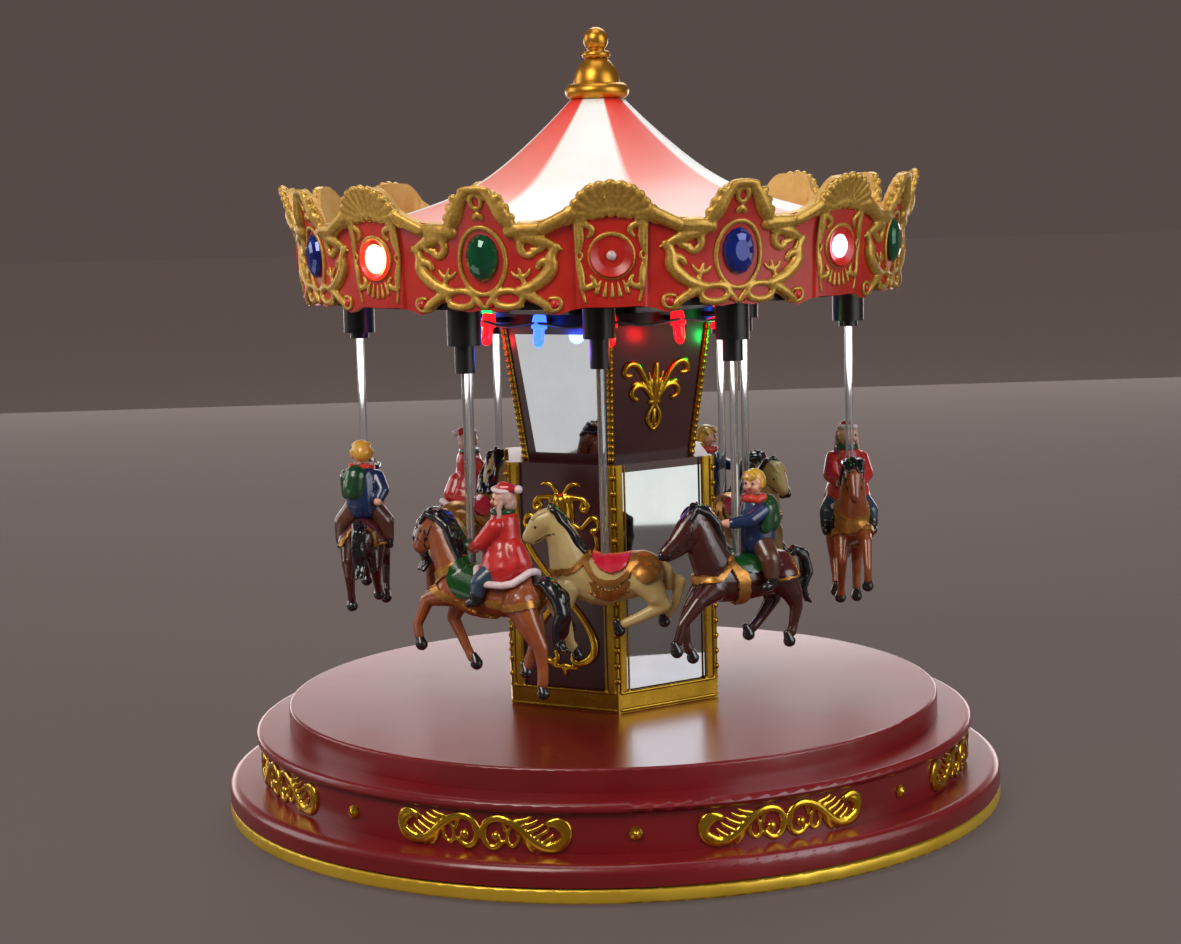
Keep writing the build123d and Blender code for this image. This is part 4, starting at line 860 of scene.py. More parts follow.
def wrap(piece, theta, radius_at, middle):
    """Bends a flat relief round the object: x becomes arc, y height and z distance outwards."""
    reference = radius_at(middle)
    for vertex in piece.data.vertices:
        x, y, z = vertex.co / MM
        turn = theta + math.degrees(x / reference)
        a = math.radians(turn)
        radius = radius_at(middle + y) + z
        vertex.co = Vector((radius * math.sin(a), -radius * math.cos(a), middle + y)) * MM
    return piece


# ------------------------------------------------------------------ crown


def crown_radius(z):
    """Outside radius of the crown at a height: nearly upright below, flared at the top."""
    share = max(0.0, (z - CROWN_LOW) / (CROWN_HIGH - CROWN_LOW))
    bulge = (CROWN_WAIST_RADIUS - CROWN_FOOT_RADIUS) * min(1.0, share / 0.45)
    flare = CROWN_TOP_RADIUS - CROWN_WAIST_RADIUS
    return CROWN_FOOT_RADIUS + bulge + flare * max(0.0, (share - 0.45) / 0.55) ** 1.5


HALF_PITCH = math.radians(UNIT_TURN / 4) * crown_radius(CROWN_MIDDLE)
SHELL_RADIUS = 13.2
SHELL_FOOT = 12.0
GEM_TOP = [(0, 23.8), (3, 23.4), (5, 22.2), (6.4, 21.8), (7, 20.4), (8.6, 19.4), (9.4, 17.0), (10.6, 16.2),
           (10.4, 13.4), (11.2, 11.2), (12.6, 11.2), (14, 11.9), (18, 11.8), (22.7, 12.4)]
GEM_FOOT = [(0, -17.6), (6, -18.4), (11, -17.8), (15, -14.6), (19, -16.2), (22.7, -18.8)]
LAMP_FOOT = [(0, -17.4), (9, -17.2), (14, -18.0), (18.5, -19.6), (22.7, -18.8)]


def level_at(outline, x):
    """Height of an outline at x, with straight runs between its points."""
    x = abs(x)
    for (ax, ay), (bx, by) in zip(outline, outline[1:]):
        if ax <= x <= bx or (bx < ax and bx <= x <= ax):
            return ay + (by - ay) * (x - ax) / (bx - ax) if bx != ax else by
    return outline[-1][1]


def lamp_top(x):
    """Upper edge over a lamp: a scallop shell with a lobed edge, then a shoulder down to the gem unit."""
    x = abs(x)
    if x < SHELL_RADIUS - 0.4:
        lobes = 0.5 * abs(math.sin(5.5 * math.acos(x / SHELL_RADIUS)))
        return min(SHELL_FOOT + math.sqrt(SHELL_RADIUS ** 2 - x * x), 23.6) + lobes * 0.6
    share = (x - SHELL_RADIUS + 0.4) / (HALF_PITCH - SHELL_RADIUS + 0.4)
    return 16.4 + (12.4 - 16.4) * math.sin(share * math.pi / 2)


def crown_shell():
    """The crown's wall: one bent sheet with its crests and lobes, and a raised panel at each lamp."""
    across, up = 1152, 12
    let_go()
    bpy.ops.mesh.primitive_grid_add(x_subdivisions=across, y_subdivisions=up, size=2.0)
    piece = bpy.context.object
    piece.name = "crown_shell"
    pitch = 2 * HALF_PITCH
    for vertex in piece.data.vertices:
        share, rise = (vertex.co.x + 1) / 2, (vertex.co.y + 1) / 2
        turn = share * 360
        arc = turn / (UNIT_TURN / 2) * pitch
        unit = round(arc / pitch)
        x = arc - unit * pitch
        if unit % 2:
            low, high = level_at(GEM_FOOT, x), level_at(GEM_TOP, x)
            proud = 0.0
        else:
            low, high = level_at(LAMP_FOOT, x), lamp_top(x)
            proud = 1.0 - min(1.0, max(0.0, (abs(x) - 11.6) / 0.6))
        y = low + (high - low) * rise
        proud *= min(1.0, max(0.0, (14.0 - y) / 1.0))
        a = math.radians(FRONT + turn)
        radius = crown_radius(CROWN_MIDDLE + y) + proud
        vertex.co = Vector((radius * math.sin(a), -radius * math.cos(a), CROWN_MIDDLE + y)) * MM
    work(piece, "WELD", merge_threshold=0.02 * MM)
    hold(piece)
    bpy.ops.object.mode_set(mode="EDIT")
    bpy.ops.mesh.select_all(action="SELECT")
    bpy.ops.mesh.normals_make_consistent(inside=False)
    bpy.ops.object.mode_set(mode="OBJECT")
    piece.data.materials.append(FINISH["crown_red"])
    piece.data.materials.append(FINISH["crown_back"])
    outward = piece.data.polygons[0].center.copy()
    outward.z = 0
    if piece.data.polygons[0].normal.dot(outward) < 0:
        piece.data.flip_normals()
    work(piece, "SOLIDIFY", thickness=CROWN_WALL * MM, offset=-1.0, material_offset=1, material_offset_rim=1)
    smooth(piece, 40)
    return piece


def gem_gilding():
    """Gold work of a gem unit, right half, mirrored: crest leaves, frame, curls, bezel, loops and strap."""
    side = [
        stroke([(3.4, 22.6), (6.4, 18.6), (8.4, 14.6), (11.0, 10.8), (13.4, 8.0)], 1.6, 3.2, 1.4),
        dot(4.4, 22.4, 1.6), dot(7.8, 20.2, 1.7), dot(9.8, 17.0, 1.7), dot(11.4, 13.6, 1.7),
        stroke([(10.6, 8.8), (14.0, 9.4), (18.4, 9.2), (22.7, 9.8)], 2.4, 2.9, 2.2),
        stroke([(13.2, 7.0), (17.4, 6.8), (22.6, 5.0), (28.2, 2.4)], 1.6, 2.9, 0.5),
        stroke([(26.4, 3.4), (23.8, 0.6), (24.8, -3.4), (21.6, -7.2), (17.6, -10.0), (12.6, -11.4)],
               1.4, 2.7, 1.7),
        stroke([(24.4, -1.6), (20.8, -0.2), (19.6, -3.4)], 1.4, 1.6, 1.0),
        stroke([(15.6, 7.4), (13.4, 4.6), (14.6, 1.2), (17.6, 0.4), (19.2, 2.4)], 1.6, 1.5, 1.1),
        stroke([(22.4, 5.2), (21.0, 1.6), (17.8, 2.6)], 1.4, 1.5, 0.9),
        stroke([(15.2, -9.8), (13.8, -6.6), (13.0, -3.8)], 1.0, 0.9, 0.6),
        stroke([(13.9, -6.8), (16.0, -6.2), (16.8, -4.0)], 0.7, 1.1, 0.5),
        stroke([(13.6, -6.6), (11.6, -6.6), (10.4, -4.8)], 0.7, 1.0, 0.5),
        ring_of(8.8, -13.8, 5.2, 2.8, 1.2),
        stroke([(4.4, -16.2), (9.0, -17.4), (13.6, -16.2)], 0.9, 1.5, 0.9),
        stroke([(13.6, -11.6), (18.6, -13.8), (23.0, -17.0)], 1.6, 2.0, 1.4),
        stroke([(21.6, -18.0), (25.6, -18.6), (27.6, -16.0), (26.2, -13.4), (23.2, -14.0)], 0.8, 0.9, 0.7),
        stroke([(3.8, -13.2), (2.0, -14.8), (0.8, -16.8)], 0.9, 1.5, 0.9),
    ]
    whole = [
        ring_of(0, -1.0, 8.6, 11.6, 0.9),
        ring_of(0, 19.0, 2.0, 2.4, 0.9),
        stroke([(-1.4, 13.6), (0, 15.4), (1.4, 13.6)], 1.0, 1.4, 1.0),
        stroke([(-3.8, 22.8), (0, 23.4), (3.8, 22.8)], 1.4, 1.6, 1.4),
    ]
    return mirrored(side) + whole


def lamp_gilding():
    """Gold work of a lamp unit: fluted shell, swag, panel edges, corner leaves, cup rim and drops."""
    side = [
        stroke([(13.2, 14.4), (17.0, 12.2), (22.7, 9.8)], 2.4, 2.7, 2.3),
        stroke([(14.0, 15.8), (12.6, 11.6), (15.6, 11.0)], 1.3, 1.9, 1.0),
        stroke([(11.8, 11.2), (11.9, 0.0), (11.0, -8.5), (9.2, -15.4)], 0.6, 0.6, 0.6),
        stroke([(10.6, 10.8), (9.6, 6.6), (10.4, 2.4)], 1.1, 1.5, 0.6),
        stroke([(10.2, 10.8), (7.0, 10.4), (5.8, 7.8), (7.6, 6.4)], 1.1, 1.3, 0.7),
        stroke([(10.2, -10.2), (9.8, -6.4), (10.6, -2.4)], 1.1, 1.4, 0.6),
        stroke([(9.8, -10.6), (6.8, -10.4), (5.6, -8.4), (7.0, -6.8)], 1.1, 1.2, 0.7),
        stroke([(10.6, 1.4), (8.8, 0.0), (10.6, -1.4)], 0.5, 0.7, 0.5),
    ]
    ribs = [stroke([(3.0 * math.sin(a), SHELL_FOOT + 0.8 + 2.6 * math.cos(a)),
                    (8.2 * math.sin(a), SHELL_FOOT + 7.6 * math.cos(a)),
                    (12.9 * math.sin(a), SHELL_FOOT + 11.8 * math.cos(a))], 0.9, 1.4, 2.0)
            for a in [math.radians(15.5 * k) for k in range(-5, 6)]]
    drops = [stroke([(8.6 * math.sin(a), -9.2 * math.cos(a)), (12.0 * math.sin(a), -13.6 * math.cos(a))],
                    0.4, 0.6, 0.9) for a in [math.radians(13 * k) for k in range(-2, 3)]]
    swag = [stroke([(-11.6, 12.4), (-6.0, 14.6), (0, 15.2), (6.0, 14.6), (11.6, 12.4)], 1.2, 1.4, 1.2)]
    swag += [dot(x, 13.9 - 0.018 * x * x, 1.35) for x in (-9.0, -6.0, -3.0, 0, 3.0, 6.0, 9.0)]
    return mirrored(side) + ribs + drops + swag + [ring_of(0, 0, 7.5, 7.5, 0.85)]


def lamp_level(offset):
    """Crown radius over a lamp panel, which stands proud of the wall."""
    return lambda z: crown_radius(z) + offset


def turned_form(name, finish_name, profile, steps=32):
    """A turned form from (radius, height) points: a disc drawn up and resized ring by ring."""
    let_go()
    radius, height = profile[0]
    bpy.ops.mesh.primitive_circle_add(vertices=steps, radius=radius * MM, fill_type="NGON")
    piece = bpy.context.object
    piece.name = name
    bpy.ops.object.mode_set(mode="EDIT")
    bpy.ops.mesh.select_all(action="SELECT")
    bpy.ops.transform.translate(value=(0, 0, height * MM))
    for next_radius, next_height in profile[1:]:
        rise = (0, 0, (next_height - height) * MM)
        bpy.ops.mesh.extrude_region_move(TRANSFORM_OT_translate={"value": rise})
        share = next_radius / radius
        bpy.ops.transform.resize(value=(share, share, 1), center_override=(0, 0, next_height * MM))
        radius, height = next_radius, next_height
    bpy.ops.mesh.select_all(action="SELECT")
    bpy.ops.mesh.normals_make_consistent(inside=False)
    bpy.ops.object.mode_set(mode="OBJECT")
    smooth(piece, 35)
    return paint(piece, finish_name)


def cut_stone(finish_name):
    """An oval stone with a flat table and three rows of facets."""
    stone = turned_form("stone", finish_name,
                        [(6.0, -0.4), (6.1, 0.6), (5.5, 1.7), (4.3, 2.7), (2.7, 3.3)], 14)
    stone.data.transform(Matrix.Diagonal((0.98, 1.36, 1.0, 1)))
    hold(stone)
    bpy.ops.object.shade_flat()
    return stone


class CrownSizes(bpy.types.PropertyGroup):
    """Sizes of the crown's trimmings."""
    gold_relief: bpy.props.FloatProperty(name="Gold relief", description="How far the gold work stands proud",
                                         default=0.0009, unit="LENGTH")


class StageSizes(bpy.types.PropertyGroup):
    """Camera and light."""
    camera_distance: bpy.props.FloatProperty(name="Camera distance", description="From the shaft's axis",
                                             default=0.9104, unit="LENGTH")
    camera_height: bpy.props.FloatProperty(name="Camera height", description="Above the table",
                                           default=0.2457, unit="LENGTH")
    focal_length: bpy.props.FloatProperty(name="Focal length", description="In mm on a 36 mm sensor",
                                          default=72.1, unit="CAMERA")
    backdrop: bpy.props.FloatVectorProperty(name="Backdrop", description="Colour of the floor and backdrop",
                                            default=linear("#564A47")[:3], subtype="COLOR", size=3)


class MERRY_OT_carried(bpy.types.Operator):
    """Finish the mouldings, works, rods and mirrors that come from the frame"""
    bl_idname = "merry.carried"
    bl_label = "Frame parts"

    def execute(self, context):
        finishes = {
            "burgundy": ["base_housing", "deck"],
            "band": ["gold_rim_band"],
            "maroon": ["tower_lower_shell", "tower_upper_shell"],
            "black": ["bottom_plate", "tower_cap", "canopy_floor", "cam_ring", "speaker", "power_inlet",
                      "power_switch", "volume_dial"],
            "rubber": ["rubber_feet"],
            "steel": ["base_screws", "drive_motor", "main_shaft"],
            "acetal": ["motor_pinion", "main_gear"],
            "brass": ["shaft_bushes", "slip_ring"],
            "fibreboard": ["control_board"],
            "mirror": ["tower_mirrors"],
            "gilt_plain": ["tower_gilt_trim"],
            "wire": ["string_light_wire"],
            "finial": ["finial"],
            "tent": ["canopy_tent"],
        }
        for finish_name, nodes in finishes.items():
            for node in nodes:
                carry(node, finish_name)
        for number in range(1, 10):
            carry("lift_sleeve_%d" % number, "black")
            carry("pole_%d" % number, "rod")
        return {"FINISHED"}


class MERRY_OT_crown(bpy.types.Operator):
    """Model the crown with its gilding, stones and lamps"""
    bl_idname = "merry.crown"
    bl_label = "Crown"

    def execute(self, context):
        sizes = context.scene.merry_crown
        shell = crown_shell()
        rise = sizes.gold_relief / MM
        gem_work = scrollwork("gem_gilding", "crown_gold", gem_gilding(), rise=rise, grain=0.4, keep=0.35)
        lamp_work = scrollwork("lamp_gilding", "crown_gold", lamp_gilding(), rise=rise, grain=0.4, keep=0.35)
        lobe = scrollwork("crown_lobe", "crown_red", mirrored([dot(25.0, -16.0, 1.9), dot(2.4, -15.8, 1.2)]),
                          rise=0.8, grain=0.4)
        cup_profile = [(7.6, -1.0), (7.7, 0.4), (7.0, 1.3), (6.4, 0.9), (4.2, -0.2), (2.2, -0.7)]
        cup = turned_form("lamp_cup", "crown_red", cup_profile)
        # A copy of the cup with painted glow, for the lamp whose LED is lit.
        glow_painted_cup = turned_form("lamp_cup_painted_glow", "cup_painted_glow", cup_profile)
        led = turned_form("led", "led_off", [(1.7, -0.8), (1.7, 0.4), (1.3, 1.0), (0.6, 1.35)], 20)
        # The lit LEDs are glowing discs much wider than the unlit LED: the LED itself, and painted glow
        # spread over the cup round it.
        glow = turned_form("led", "led_warm", [(5.0, -0.8), (5.2, 0.3), (4.0, 1.2), (1.8, 1.7)], 24)
        glow_pink = turned_form("led", "led_pink", [(4.0, -0.8), (4.2, 0.3), (3.2, 1.2), (1.4, 1.7)], 24)
        gilding, red, stones, cups, leds = [], [shell], [], [], []
        for k in range(UNITS):
            lamp_turn = FRONT + UNIT_TURN * k
            gem_turn = lamp_turn + UNIT_TURN / 2
            gilding.append(wrap(copy_at(gem_work, Matrix()), gem_turn, crown_radius, CROWN_MIDDLE))
            gilding.append(wrap(copy_at(lamp_work, Matrix()), lamp_turn, lamp_level(0.9), CROWN_MIDDLE))
            red.append(wrap(copy_at(lobe, Matrix()), gem_turn, crown_radius, CROWN_MIDDLE))
            face_radius = crown_radius(CROWN_MIDDLE)
            stone = cut_stone("gem_blue" if k % 2 == 0 else "gem_green")
            stone.data.transform(place_at(gem_turn, face_radius, CROWN_MIDDLE + 0.4))
            stones.append(stone)
            at = place_at(lamp_turn, face_radius + 1.0, CROWN_MIDDLE)
            this_cup, this_led = {1: (cup, glow_pink), UNITS - 1: (glow_painted_cup, glow)}.get(k, (cup, led))
            cups.append(copy_at(this_cup, at))
            leds.append(copy_at(this_led, at))
        for spare in (gem_work, lamp_work, lobe, cup, glow_painted_cup, glow, glow_pink, led):
            bpy.data.objects.remove(spare)
        half = len(gilding) // 2
        give(join("crown_shell", red), "canopy", "crown_red", "crown")
        give(join("crown_gilding_front", gilding[:half]), "canopy", "gold_paint")
        give(join("crown_gilding_back", gilding[half:]), "canopy", "gold_paint")
        give(join("crown_stones", stones), "canopy", "gem_glass", "crown_gems")
        give(join("crown_lamp_cups", cups), "canopy", "crown_red")
        give(join("crown_lamp_leds", leds), "canopy", "lamp_plastic", "crown_lamps")
        return {"FINISHED"}


class MERRY_OT_horses(bpy.types.Operator):
    """Model the three painted horses and two riders and seat them on their poles"""
    bl_idname = "merry.horses"
    bl_label = "Horses and riders"

    def execute(self, context):
        figures = {
            "cream": cream_horse(),
            "girl": join("chestnut_horse_and_girl", chestnut_horse() + girl_rider()),
            "boy": join("bay_horse_and_boy", bay_horse() + boy_rider()),
        }
        slots = {"cream": "resin_cream", "girl": "resin_chestnut", "boy": "resin_dark"}
        order = ["boy", "girl", "boy", "girl", "boy", "girl", "cream", "cream", "cream"]
        for number, kind in enumerate(order, 1):
            piece = copy_at(figures[kind], horse_seat(number))
            piece.name = "horse_figure_%d" % number
            give(piece, "lift_%d" % number, slots[kind], "horse_%d" % number)
        for figure in figures.values():
            bpy.data.objects.remove(figure)
        return {"FINISHED"}


def base_scroll():
    """Half of a base scroll: comma head, running stem, spiral with a ball, loop and combed leaves."""
    return [
        stroke([(24.6, 3.6), (28.6, 5.6), (31.6, 1.0), (29.2, -4.6), (23.6, -5.4), (18.6, -3.0), (13.2, 2.6),
                (7.8, 5.2), (2.4, 4.0), (0.6, -0.8), (2.4, -5.2), (6.0, -5.8), (8.0, -3.6)], 1.6, 1.7, 1.1),
        stroke([(25.4, 3.8), (30.2, 3.2), (30.0, -2.0)], 1.4, 2.5, 1.4),
        stroke([(29.4, -2.0), (27.0, -4.6), (22.0, -4.6)], 1.6, 2.0, 1.0),
        dot(5.8, -1.6, 1.9),
        stroke([(12.0, 2.6), (13.8, 0.2), (13.8, -3.2), (11.4, -5.2), (9.6, -3.4), (10.0, 0.2), (11.6, 2.4)],
               0.7, 0.9, 0.7),
        stroke([(15.4, 0.8), (15.8, -3.0), (18.6, -6.0)], 0.7, 1.5, 0.8),
        stroke([(17.6, -1.0), (18.4, -4.0), (21.6, -6.4)], 0.6, 1.2, 0.6),
        stroke([(11.4, 4.2), (15.0, 3.6), (18.2, 5.8)], 0.7, 1.3, 0.5),
        stroke([(13.8, 2.4), (17.4, 2.2), (20.4, 4.6)], 0.7, 1.3, 0.5),
        stroke([(16.2, 0.4), (19.6, 0.6), (22.4, 3.2)], 0.7, 1.3, 0.5),
        stroke([(18.8, -1.6), (21.8, -0.8), (24.2, 1.6)], 0.7, 1.3, 0.5),
        stroke([(21.6, -3.2), (24.2, -2.4), (25.8, -0.2)], 0.7, 1.2, 0.5),
        stroke([(7.4, 3.8), (9.2, 2.2), (8.8, 0.4)], 0.7, 1.0, 0.6),
    ]


class MERRY_OT_base_trim(bpy.types.Operator):
    """Model the gilded scrolls and rosettes round the base"""
    bl_idname = "merry.base_trim"
    bl_label = "Base scrolls"

    def execute(self, context):
        scroll = scrollwork("base_scroll", "gilt", mirrored(base_scroll()), rise=0.75, grain=0.35, keep=0.35)
        rosette = turned_form("rosette", "gilt",
                              [(2.4, -0.2), (2.5, 0.5), (2.0, 1.2), (1.0, 1.5), (0.5, 1.9)], 8)
        pieces = []
        for k in range(UNITS):
            turn = UNIT_TURN * k
            pieces.append(wrap(copy_at(scroll, Matrix()), turn + UNIT_TURN / 2, lambda z: FRIEZE_RADIUS,
                               FRIEZE_MIDDLE))
            if k != UNITS // 2:
                pieces.append(copy_at(rosette, place_at(turn, FRIEZE_RADIUS, FRIEZE_MIDDLE)))
        for spare in (scroll, rosette):
            bpy.data.objects.remove(spare)
        give(join("base_scrollwork", pieces), "base", "gold_paint", "base_scrolls")
        return {"FINISHED"}


def urn_ornament():
    """Half of the tall ornament: leaves, urn with volutes, scrolled arms, straps, lyre and foot."""
    return [
        stroke([(0.8, 31.4), (3.0, 35.2), (6.4, 36.6), (8.2, 35.4)], 0.7, 1.2, 0.5),
        stroke([(0.0, 31.0), (6.0, 31.2), (9.6, 30.4)], 1.3, 1.3, 1.1),
        stroke([(9.4, 30.6), (11.8, 28.4), (10.6, 25.8), (8.2, 26.6), (8.8, 28.6)], 1.1, 1.3, 0.7),
        stroke([(3.4, 29.6), (4.6, 25.0), (3.2, 20.0), (1.0, 16.4)], 1.8, 1.6, 1.0),
        stroke([(0.0, 29.4), (0.0, 24.0), (0.0, 16.0)], 3.0, 3.0, 1.4),
        stroke([(4.2, 21.5), (8.0, 18.5), (10.5, 21.5), (13.2, 24.2), (15.6, 22.6), (16.0, 19.6),
                (13.8, 17.8)],
               0.9, 1.2, 0.9),
        dot(13.6, 18.6, 1.7),
        stroke([(14.0, 16.6), (15.4, 13.6), (13.6, 10.0), (8.6, 3.6), (3.0, -2.6), (0.0, -6.4)],
               0.8, 1.4, 1.2),
        stroke([(0.0, 16.0), (0.0, 5.0), (0.0, -6.0)], 1.0, 0.9, 1.2),
        dot(0.0, 5.0, 2.2),
        stroke([(0.0, -6.4), (4.5, -10.4), (11.0, -18.6), (13.4, -25.6), (11.0, -30.6), (5.2, -32.8),
                (2.6, -30.4), (3.8, -28.2)], 1.2, 1.9, 1.0),
        stroke([(0.0, -9.0), (2.4, -16.0), (2.6, -23.4), (0.0, -28.4)], 0.9, 1.3, 0.8),
        stroke([(0.0, -33.2), (3.4, -34.6), (6.0, -33.4)], 1.2, 1.2, 0.7),
        stroke([(0.0, -34.0), (0.0, -36.0), (0.0, -37.4)], 1.6, 1.2, 0.5),
    ]


def lily_ornament():
    """Half of the lily: centre leaf, two curled petals, lower scrolls, band and hollow drop."""
    return [
        stroke([(0.0, -3.0), (0.0, 3.6), (0.0, 10.4)], 1.2, 1.9, 1.1),
        stroke([(0.6, -4.0), (3.2, 2.2), (7.2, 9.4), (11.0, 11.8), (14.4, 9.6), (14.0, 6.2), (11.4, 6.8)],
               0.8, 1.5, 1.0),
        stroke([(5.6, 7.4), (9.6, 12.4), (13.6, 11.6)], 0.5, 1.2, 0.7),
        stroke([(0.8, -3.8), (3.4, 0.6), (7.0, 3.2), (10.6, 1.4), (10.4, -2.0), (8.0, -2.6)], 0.8, 1.3, 1.0),
        stroke([(3.8, 2.0), (7.2, 4.6), (10.2, 3.6)], 0.4, 1.0, 0.6),
        stroke([(0.7, -1.0), (2.0, 3.4), (3.2, 7.6)], 0.7, 0.9, 0.4),
        stroke([(0.0, -4.4), (2.4, -7.6), (2.9, -10.6), (1.6, -13.4), (0.0, -14.6)], 0.9, 1.0, 0.8),
        stroke([(0.0, -7.0), (0.0, -9.6), (0.0, -12.4)], 0.6, 1.5, 0.6),
        stroke([(0.0, -3.8), (1.0, -3.8), (2.2, -4.0)], 1.1, 1.0, 0.9),
    ]


def face_mouldings():
    """Raised lines round a lower tower face: two uprights and the skirting's top and bottom rails."""
    half = TOWER_RADIUS / 2 - 0.6
    middle = (TOWER_LOW + TOWER_HIGH) / 2
    low, high = TOWER_LOW - middle, TOWER_HIGH - middle
    return [
        stroke([(half - 3.6, low + 8.0), (half - 3.6, 0), (half - 3.6, high - 0.5)], 0.5, 0.5, 0.5),
        stroke([(half, low + 8.0), (half, 0), (half, high - 0.5)], 0.45, 0.45, 0.45),
        stroke([(0, low + 7.4), (half / 2, low + 7.4), (half, low + 7.4)], 0.75, 0.75, 0.75),
        stroke([(0, low + 0.9), (half / 2, low + 0.9), (half, low + 0.9)], 0.8, 0.8, 0.8),
    ]


def lean_matrix(theta, foot_radius, top_radius, low, high):
    """Matrix on the middle of a leaning tower face: x right, y up the face, z out of it."""
    foot, top = foot_radius * math.cos(math.pi / 6), top_radius * math.cos(math.pi / 6)
    matrix = place_at(theta, (foot + top) / 2, (low + high) / 2)
    return matrix @ Matrix.Rotation(math.atan2(top - foot, high - low), 4, "X")


class MERRY_OT_tower_trim(bpy.types.Operator):
    """Model the ornaments on the tower's faces and the beads on its corners"""
    bl_idname = "merry.tower_trim"
    bl_label = "Tower ornaments"

    def execute(self, context):
        urn = scrollwork("urn", "gilt", mirrored(urn_ornament()), rise=0.8, grain=0.4, keep=0.35)
        lily = scrollwork("lily", "gilt", mirrored(lily_ornament()), rise=0.8, grain=0.35, keep=0.35)
        pieces = []
        for k in range(3):
            pieces.append(copy_at(urn, lean_matrix(-30 + 120 * k, TOWER_RADIUS, TOWER_RADIUS, TOWER_LOW + 6,
                                                   TOWER_HIGH)))
            pieces.append(copy_at(lily, lean_matrix(30 + 120 * k, UPPER_FOOT_RADIUS, UPPER_TOP_RADIUS,
                                                    TOWER_HIGH, UPPER_HIGH)))
        frame_lines = scrollwork("face_mouldings", "gilt_plain", mirrored(face_mouldings()), rise=0.9,
                                 grain=0.4, keep=0.2, lift=1.3)
        for k in range(6):
            pieces.append(copy_at(frame_lines, lean_matrix(30 + 60 * k, TOWER_RADIUS, TOWER_RADIUS, TOWER_LOW,
                                                           TOWER_HIGH)))
        for spare in (urn, lily, frame_lines):
            bpy.data.objects.remove(spare)
        give(join("tower_ornament_gilding", pieces), "base", "gold_paint", "tower_ornaments")
        let_go()
        bpy.ops.mesh.primitive_ico_sphere_add(subdivisions=2, radius=MM)
        bead = bpy.context.object
        smooth(bead)
        paint(bead, "gilt_plain")
        beads = []
        for k in range(6):
            turn = 60 * k
            for j in range(14):
                z = TOWER_LOW + 12 + j * 5.9
                beads.append(copy_at(bead, place_at(turn, TOWER_RADIUS + 1.0, z) @ Matrix.Scale(1.35, 4)))
            for j in range(21):
                share = (j + 0.5) / 21
                radius = UPPER_FOOT_RADIUS + (UPPER_TOP_RADIUS - UPPER_FOOT_RADIUS) * share
                z = TOWER_HIGH + (UPPER_HIGH - TOWER_HIGH) * share
                beads.append(copy_at(bead, place_at(turn, radius + 0.4, z) @ Matrix.Scale(1.4, 4)))
        bpy.data.objects.remove(bead)
        give(join("tower_beading", beads), "base", "gold_paint")
        return {"FINISHED"}


class MERRY_OT_lights(bpy.types.Operator):
    """Model the miniature lamps of the light chain"""
    bl_idname = "merry.lights"
    bl_label = "Light chain"

    def execute(self, context):
        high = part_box("string_light_bulbs")[1]
        colours = ["lamp_red", "lamp_red", "lamp_green", "lamp_blue", "lamp_red", "lamp_green", "lamp_blue",
                   "lamp_red", "lamp_green", "lamp_blue", "lamp_red", "lamp_blue"]
        pieces = []
        for k, colour in enumerate(colours):
            turn = 360 / len(colours) * k
            place = place_at(turn, LAMP_CIRCLE, high.z / MM - LAMP_DROP) @ Matrix.Rotation(
                math.radians(90 - LAMP_LEAN), 4, "X")
            bulb = turned_form("bulb", colour, [(1.8, -2.3), (2.3, -2.1), (2.9, 1.6), (2.9, 2.6), (2.1, 3.0),
                                                (2.1, 6.6), (1.9, 8.0), (1.3, 9.2), (0.5, 9.8)], 20)
            bulb.data.transform(place)
            pieces.append(bulb)
            if k and abs((turn + 180) % 360 - 180) < 75:
                bpy.ops.object.light_add(type="POINT", location=place @ Vector((0, 0, 0.012)))
                glow = context.object
                glow.data.energy = 0.012
                glow.data.shadow_soft_size = 0.003
                glow.data.color = FINISH[colour].node_tree.nodes["Principled BSDF"].inputs[
                    "Emission Color"].default_value[:3]
        give(join("light_chain_lamps", pieces), "base", "lamp_plastic", "string_light_bulbs")
        return {"FINISHED"}


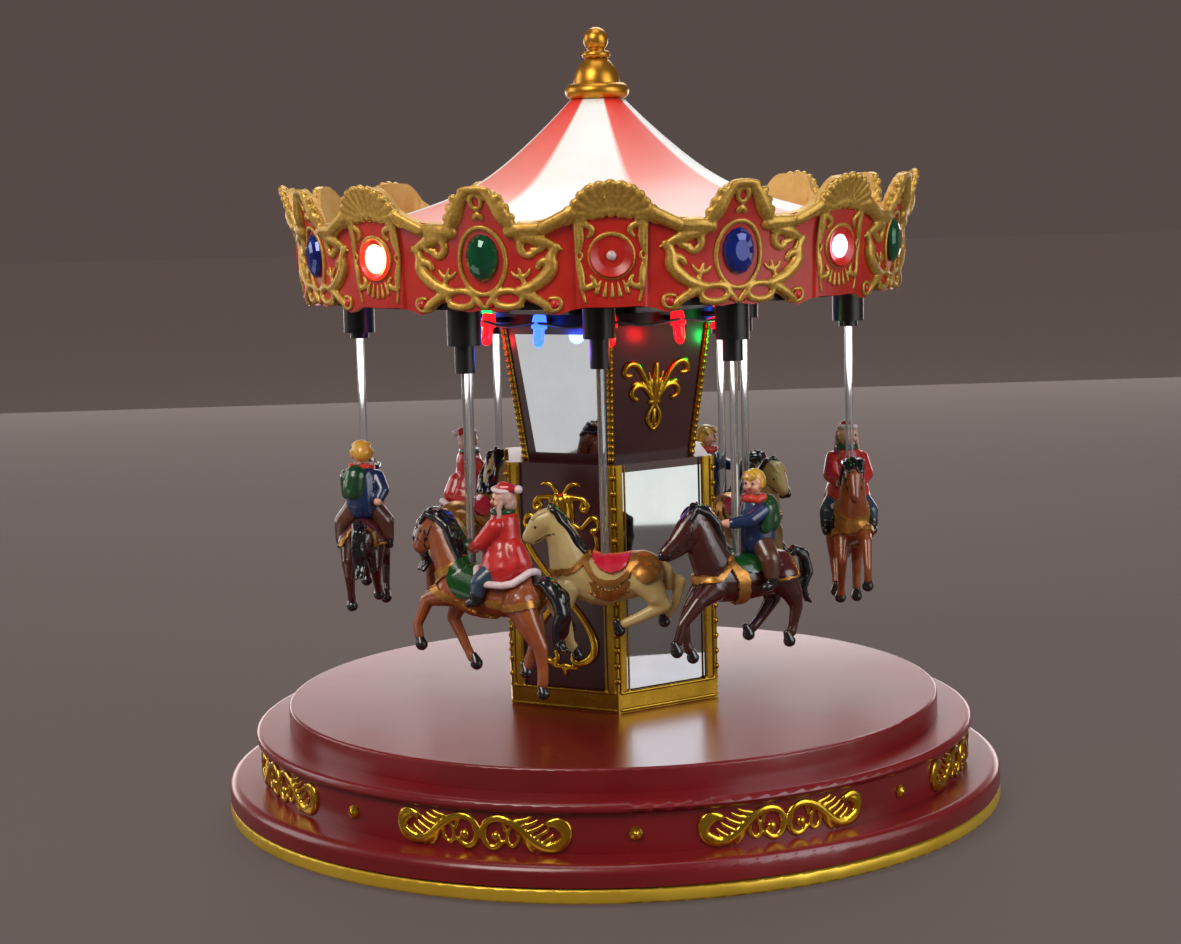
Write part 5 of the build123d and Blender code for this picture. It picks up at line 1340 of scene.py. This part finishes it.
class MERRY_OT_stage(bpy.types.Operator):
    """Lay the floor, set the lights and stand the camera"""
    bl_idname = "merry.stage"
    bl_label = "Stage"

    def execute(self, context):
        sizes = context.scene.merry_stage
        let_go()
        bpy.ops.mesh.primitive_plane_add(size=12.0, location=(0, 0, 0))
        floor = context.object
        floor.name = "floor"
        floor.location.z = cad_box[0].z - 0.0002
        material = bpy.data.materials.new("plain_paper_floor")
        material.use_nodes = True
        shader = material.node_tree.nodes["Principled BSDF"]
        shader.inputs["Base Color"].default_value = linear("#33302E")
        shader.inputs["Roughness"].default_value = 0.95
        shader.inputs["Specular IOR Level"].default_value = 0.1
        shader.inputs["Emission Color"].default_value = tuple(sizes.backdrop) + (1.0,)
        shader.inputs["Emission Strength"].default_value = 1.0
        floor.data.materials.append(material)
        middle = (0, 0, 0.14)
        lights = [
            ("key", (-0.75, -1.0, 1.15), middle, (0.8, 0.8), 17.0, "#FFF6EC"),
            ("fill", (1.1, -0.9, 0.7), middle, (0.9, 0.9), 8.0, "#F2F6FF"),
            ("rim", (0.25, 1.4, 1.3), middle, (1.0, 1.0), 12.0, "#FFFFFF"),
            ("side", (-1.5, 0.5, 0.6), middle, (0.9, 0.9), 6.0, "#FFFFFF"),
            ("top", (0.0, 0.0, 1.6), middle, (0.9, 0.9), 5.0, "#FFFFFF"),
            ("glare_card", (0.0, 1.6, 0.17), (0, 0, 0.17), (2.6, 0.34), 9.0, "#FFF2F0"),
            ("left_card", (-0.62, -0.3, 0.004), (-0.62, -0.3, 1.0), (0.6, 0.6), 0.9, "#FFFFFF"),
            ("right_card", (0.62, -0.36, 0.2), (0, 0, 0.12), (0.6, 0.4), 1.0, "#F6F8F2"),
        ]
        for name, place, target, (wide, tall), power, colour in lights:
            bpy.ops.object.light_add(type="AREA", location=place)
            lamp = context.object
            lamp.name = name
            lamp.data.shape = "RECTANGLE"
            lamp.data.size = wide
            lamp.data.size_y = tall
            lamp.data.energy = power
            lamp.data.color = linear(colour)[:3]
            lamp.rotation_euler = (Vector(target) - Vector(place)).to_track_quat("-Z", "Y").to_euler()
        world = bpy.data.worlds.new("studio")
        world.use_nodes = True
        backdrop = world.node_tree.nodes["Background"]
        backdrop.inputs["Color"].default_value = tuple(sizes.backdrop) + (1.0,)
        backdrop.inputs["Strength"].default_value = 1.0
        context.scene.world = world
        context.scene.view_settings.view_transform = "Standard"
        bpy.ops.object.camera_add()
        camera = context.object
        camera.data.sensor_width = 36.0
        camera.data.lens = sizes.focal_length
        pan, tilt, roll = -0.007, 0.130, -0.027
        ahead = Vector((math.sin(pan) * math.cos(tilt), math.cos(pan) * math.cos(tilt), -math.sin(tilt)))
        right = Vector((math.cos(pan), -math.sin(pan), 0))
        up = right.cross(ahead)
        across = math.cos(roll) * right + math.sin(roll) * up
        above = -math.sin(roll) * right + math.cos(roll) * up
        pose = Matrix((across, above, -ahead)).transposed().to_4x4()
        pose.translation = (0, -sizes.camera_distance, sizes.camera_height)
        camera.matrix_world = Matrix.Rotation(math.radians(-2.7), 4, "Z") @ pose
        context.scene.camera = camera
        return {"FINISHED"}


class MERRY_PT_panel(bpy.types.Panel):
    """Lists the steps in the sidebar"""
    bl_idname = "MERRY_PT_panel"
    bl_label = "Merry-go-round"
    bl_space_type = "VIEW_3D"
    bl_region_type = "UI"
    bl_category = "Merry-go-round"

    def draw(self, context):
        scene = context.scene
        for group in (scene.merry_crown, scene.merry_stage):
            for name in group.__annotations__:
                self.layout.prop(group, name)
        for step in STEPS:
            self.layout.operator(step.bl_idname)


STEPS = (MERRY_OT_carried, MERRY_OT_crown, MERRY_OT_horses, MERRY_OT_base_trim, MERRY_OT_tower_trim,
         MERRY_OT_lights, MERRY_OT_stage)
GROUPS = {"merry_crown": CrownSizes, "merry_stage": StageSizes}


def register():
    for group in GROUPS.values():
        bpy.utils.register_class(group)
    for name, group in GROUPS.items():
        setattr(bpy.types.Scene, name, bpy.props.PointerProperty(type=group))
    for step in STEPS + (MERRY_PT_panel,):
        bpy.utils.register_class(step)


def unregister():
    for step in (MERRY_PT_panel,) + STEPS:
        bpy.utils.unregister_class(step)
    for name in GROUPS:
        delattr(bpy.types.Scene, name)
    for group in GROUPS.values():
        bpy.utils.unregister_class(group)


def main():
    register()
    FINISH.update(make_finishes())
    for step in STEPS:
        family, name = step.bl_idname.split(".")
        getattr(getattr(bpy.ops, family), name)()


if __name__ == "__main__":
    main()
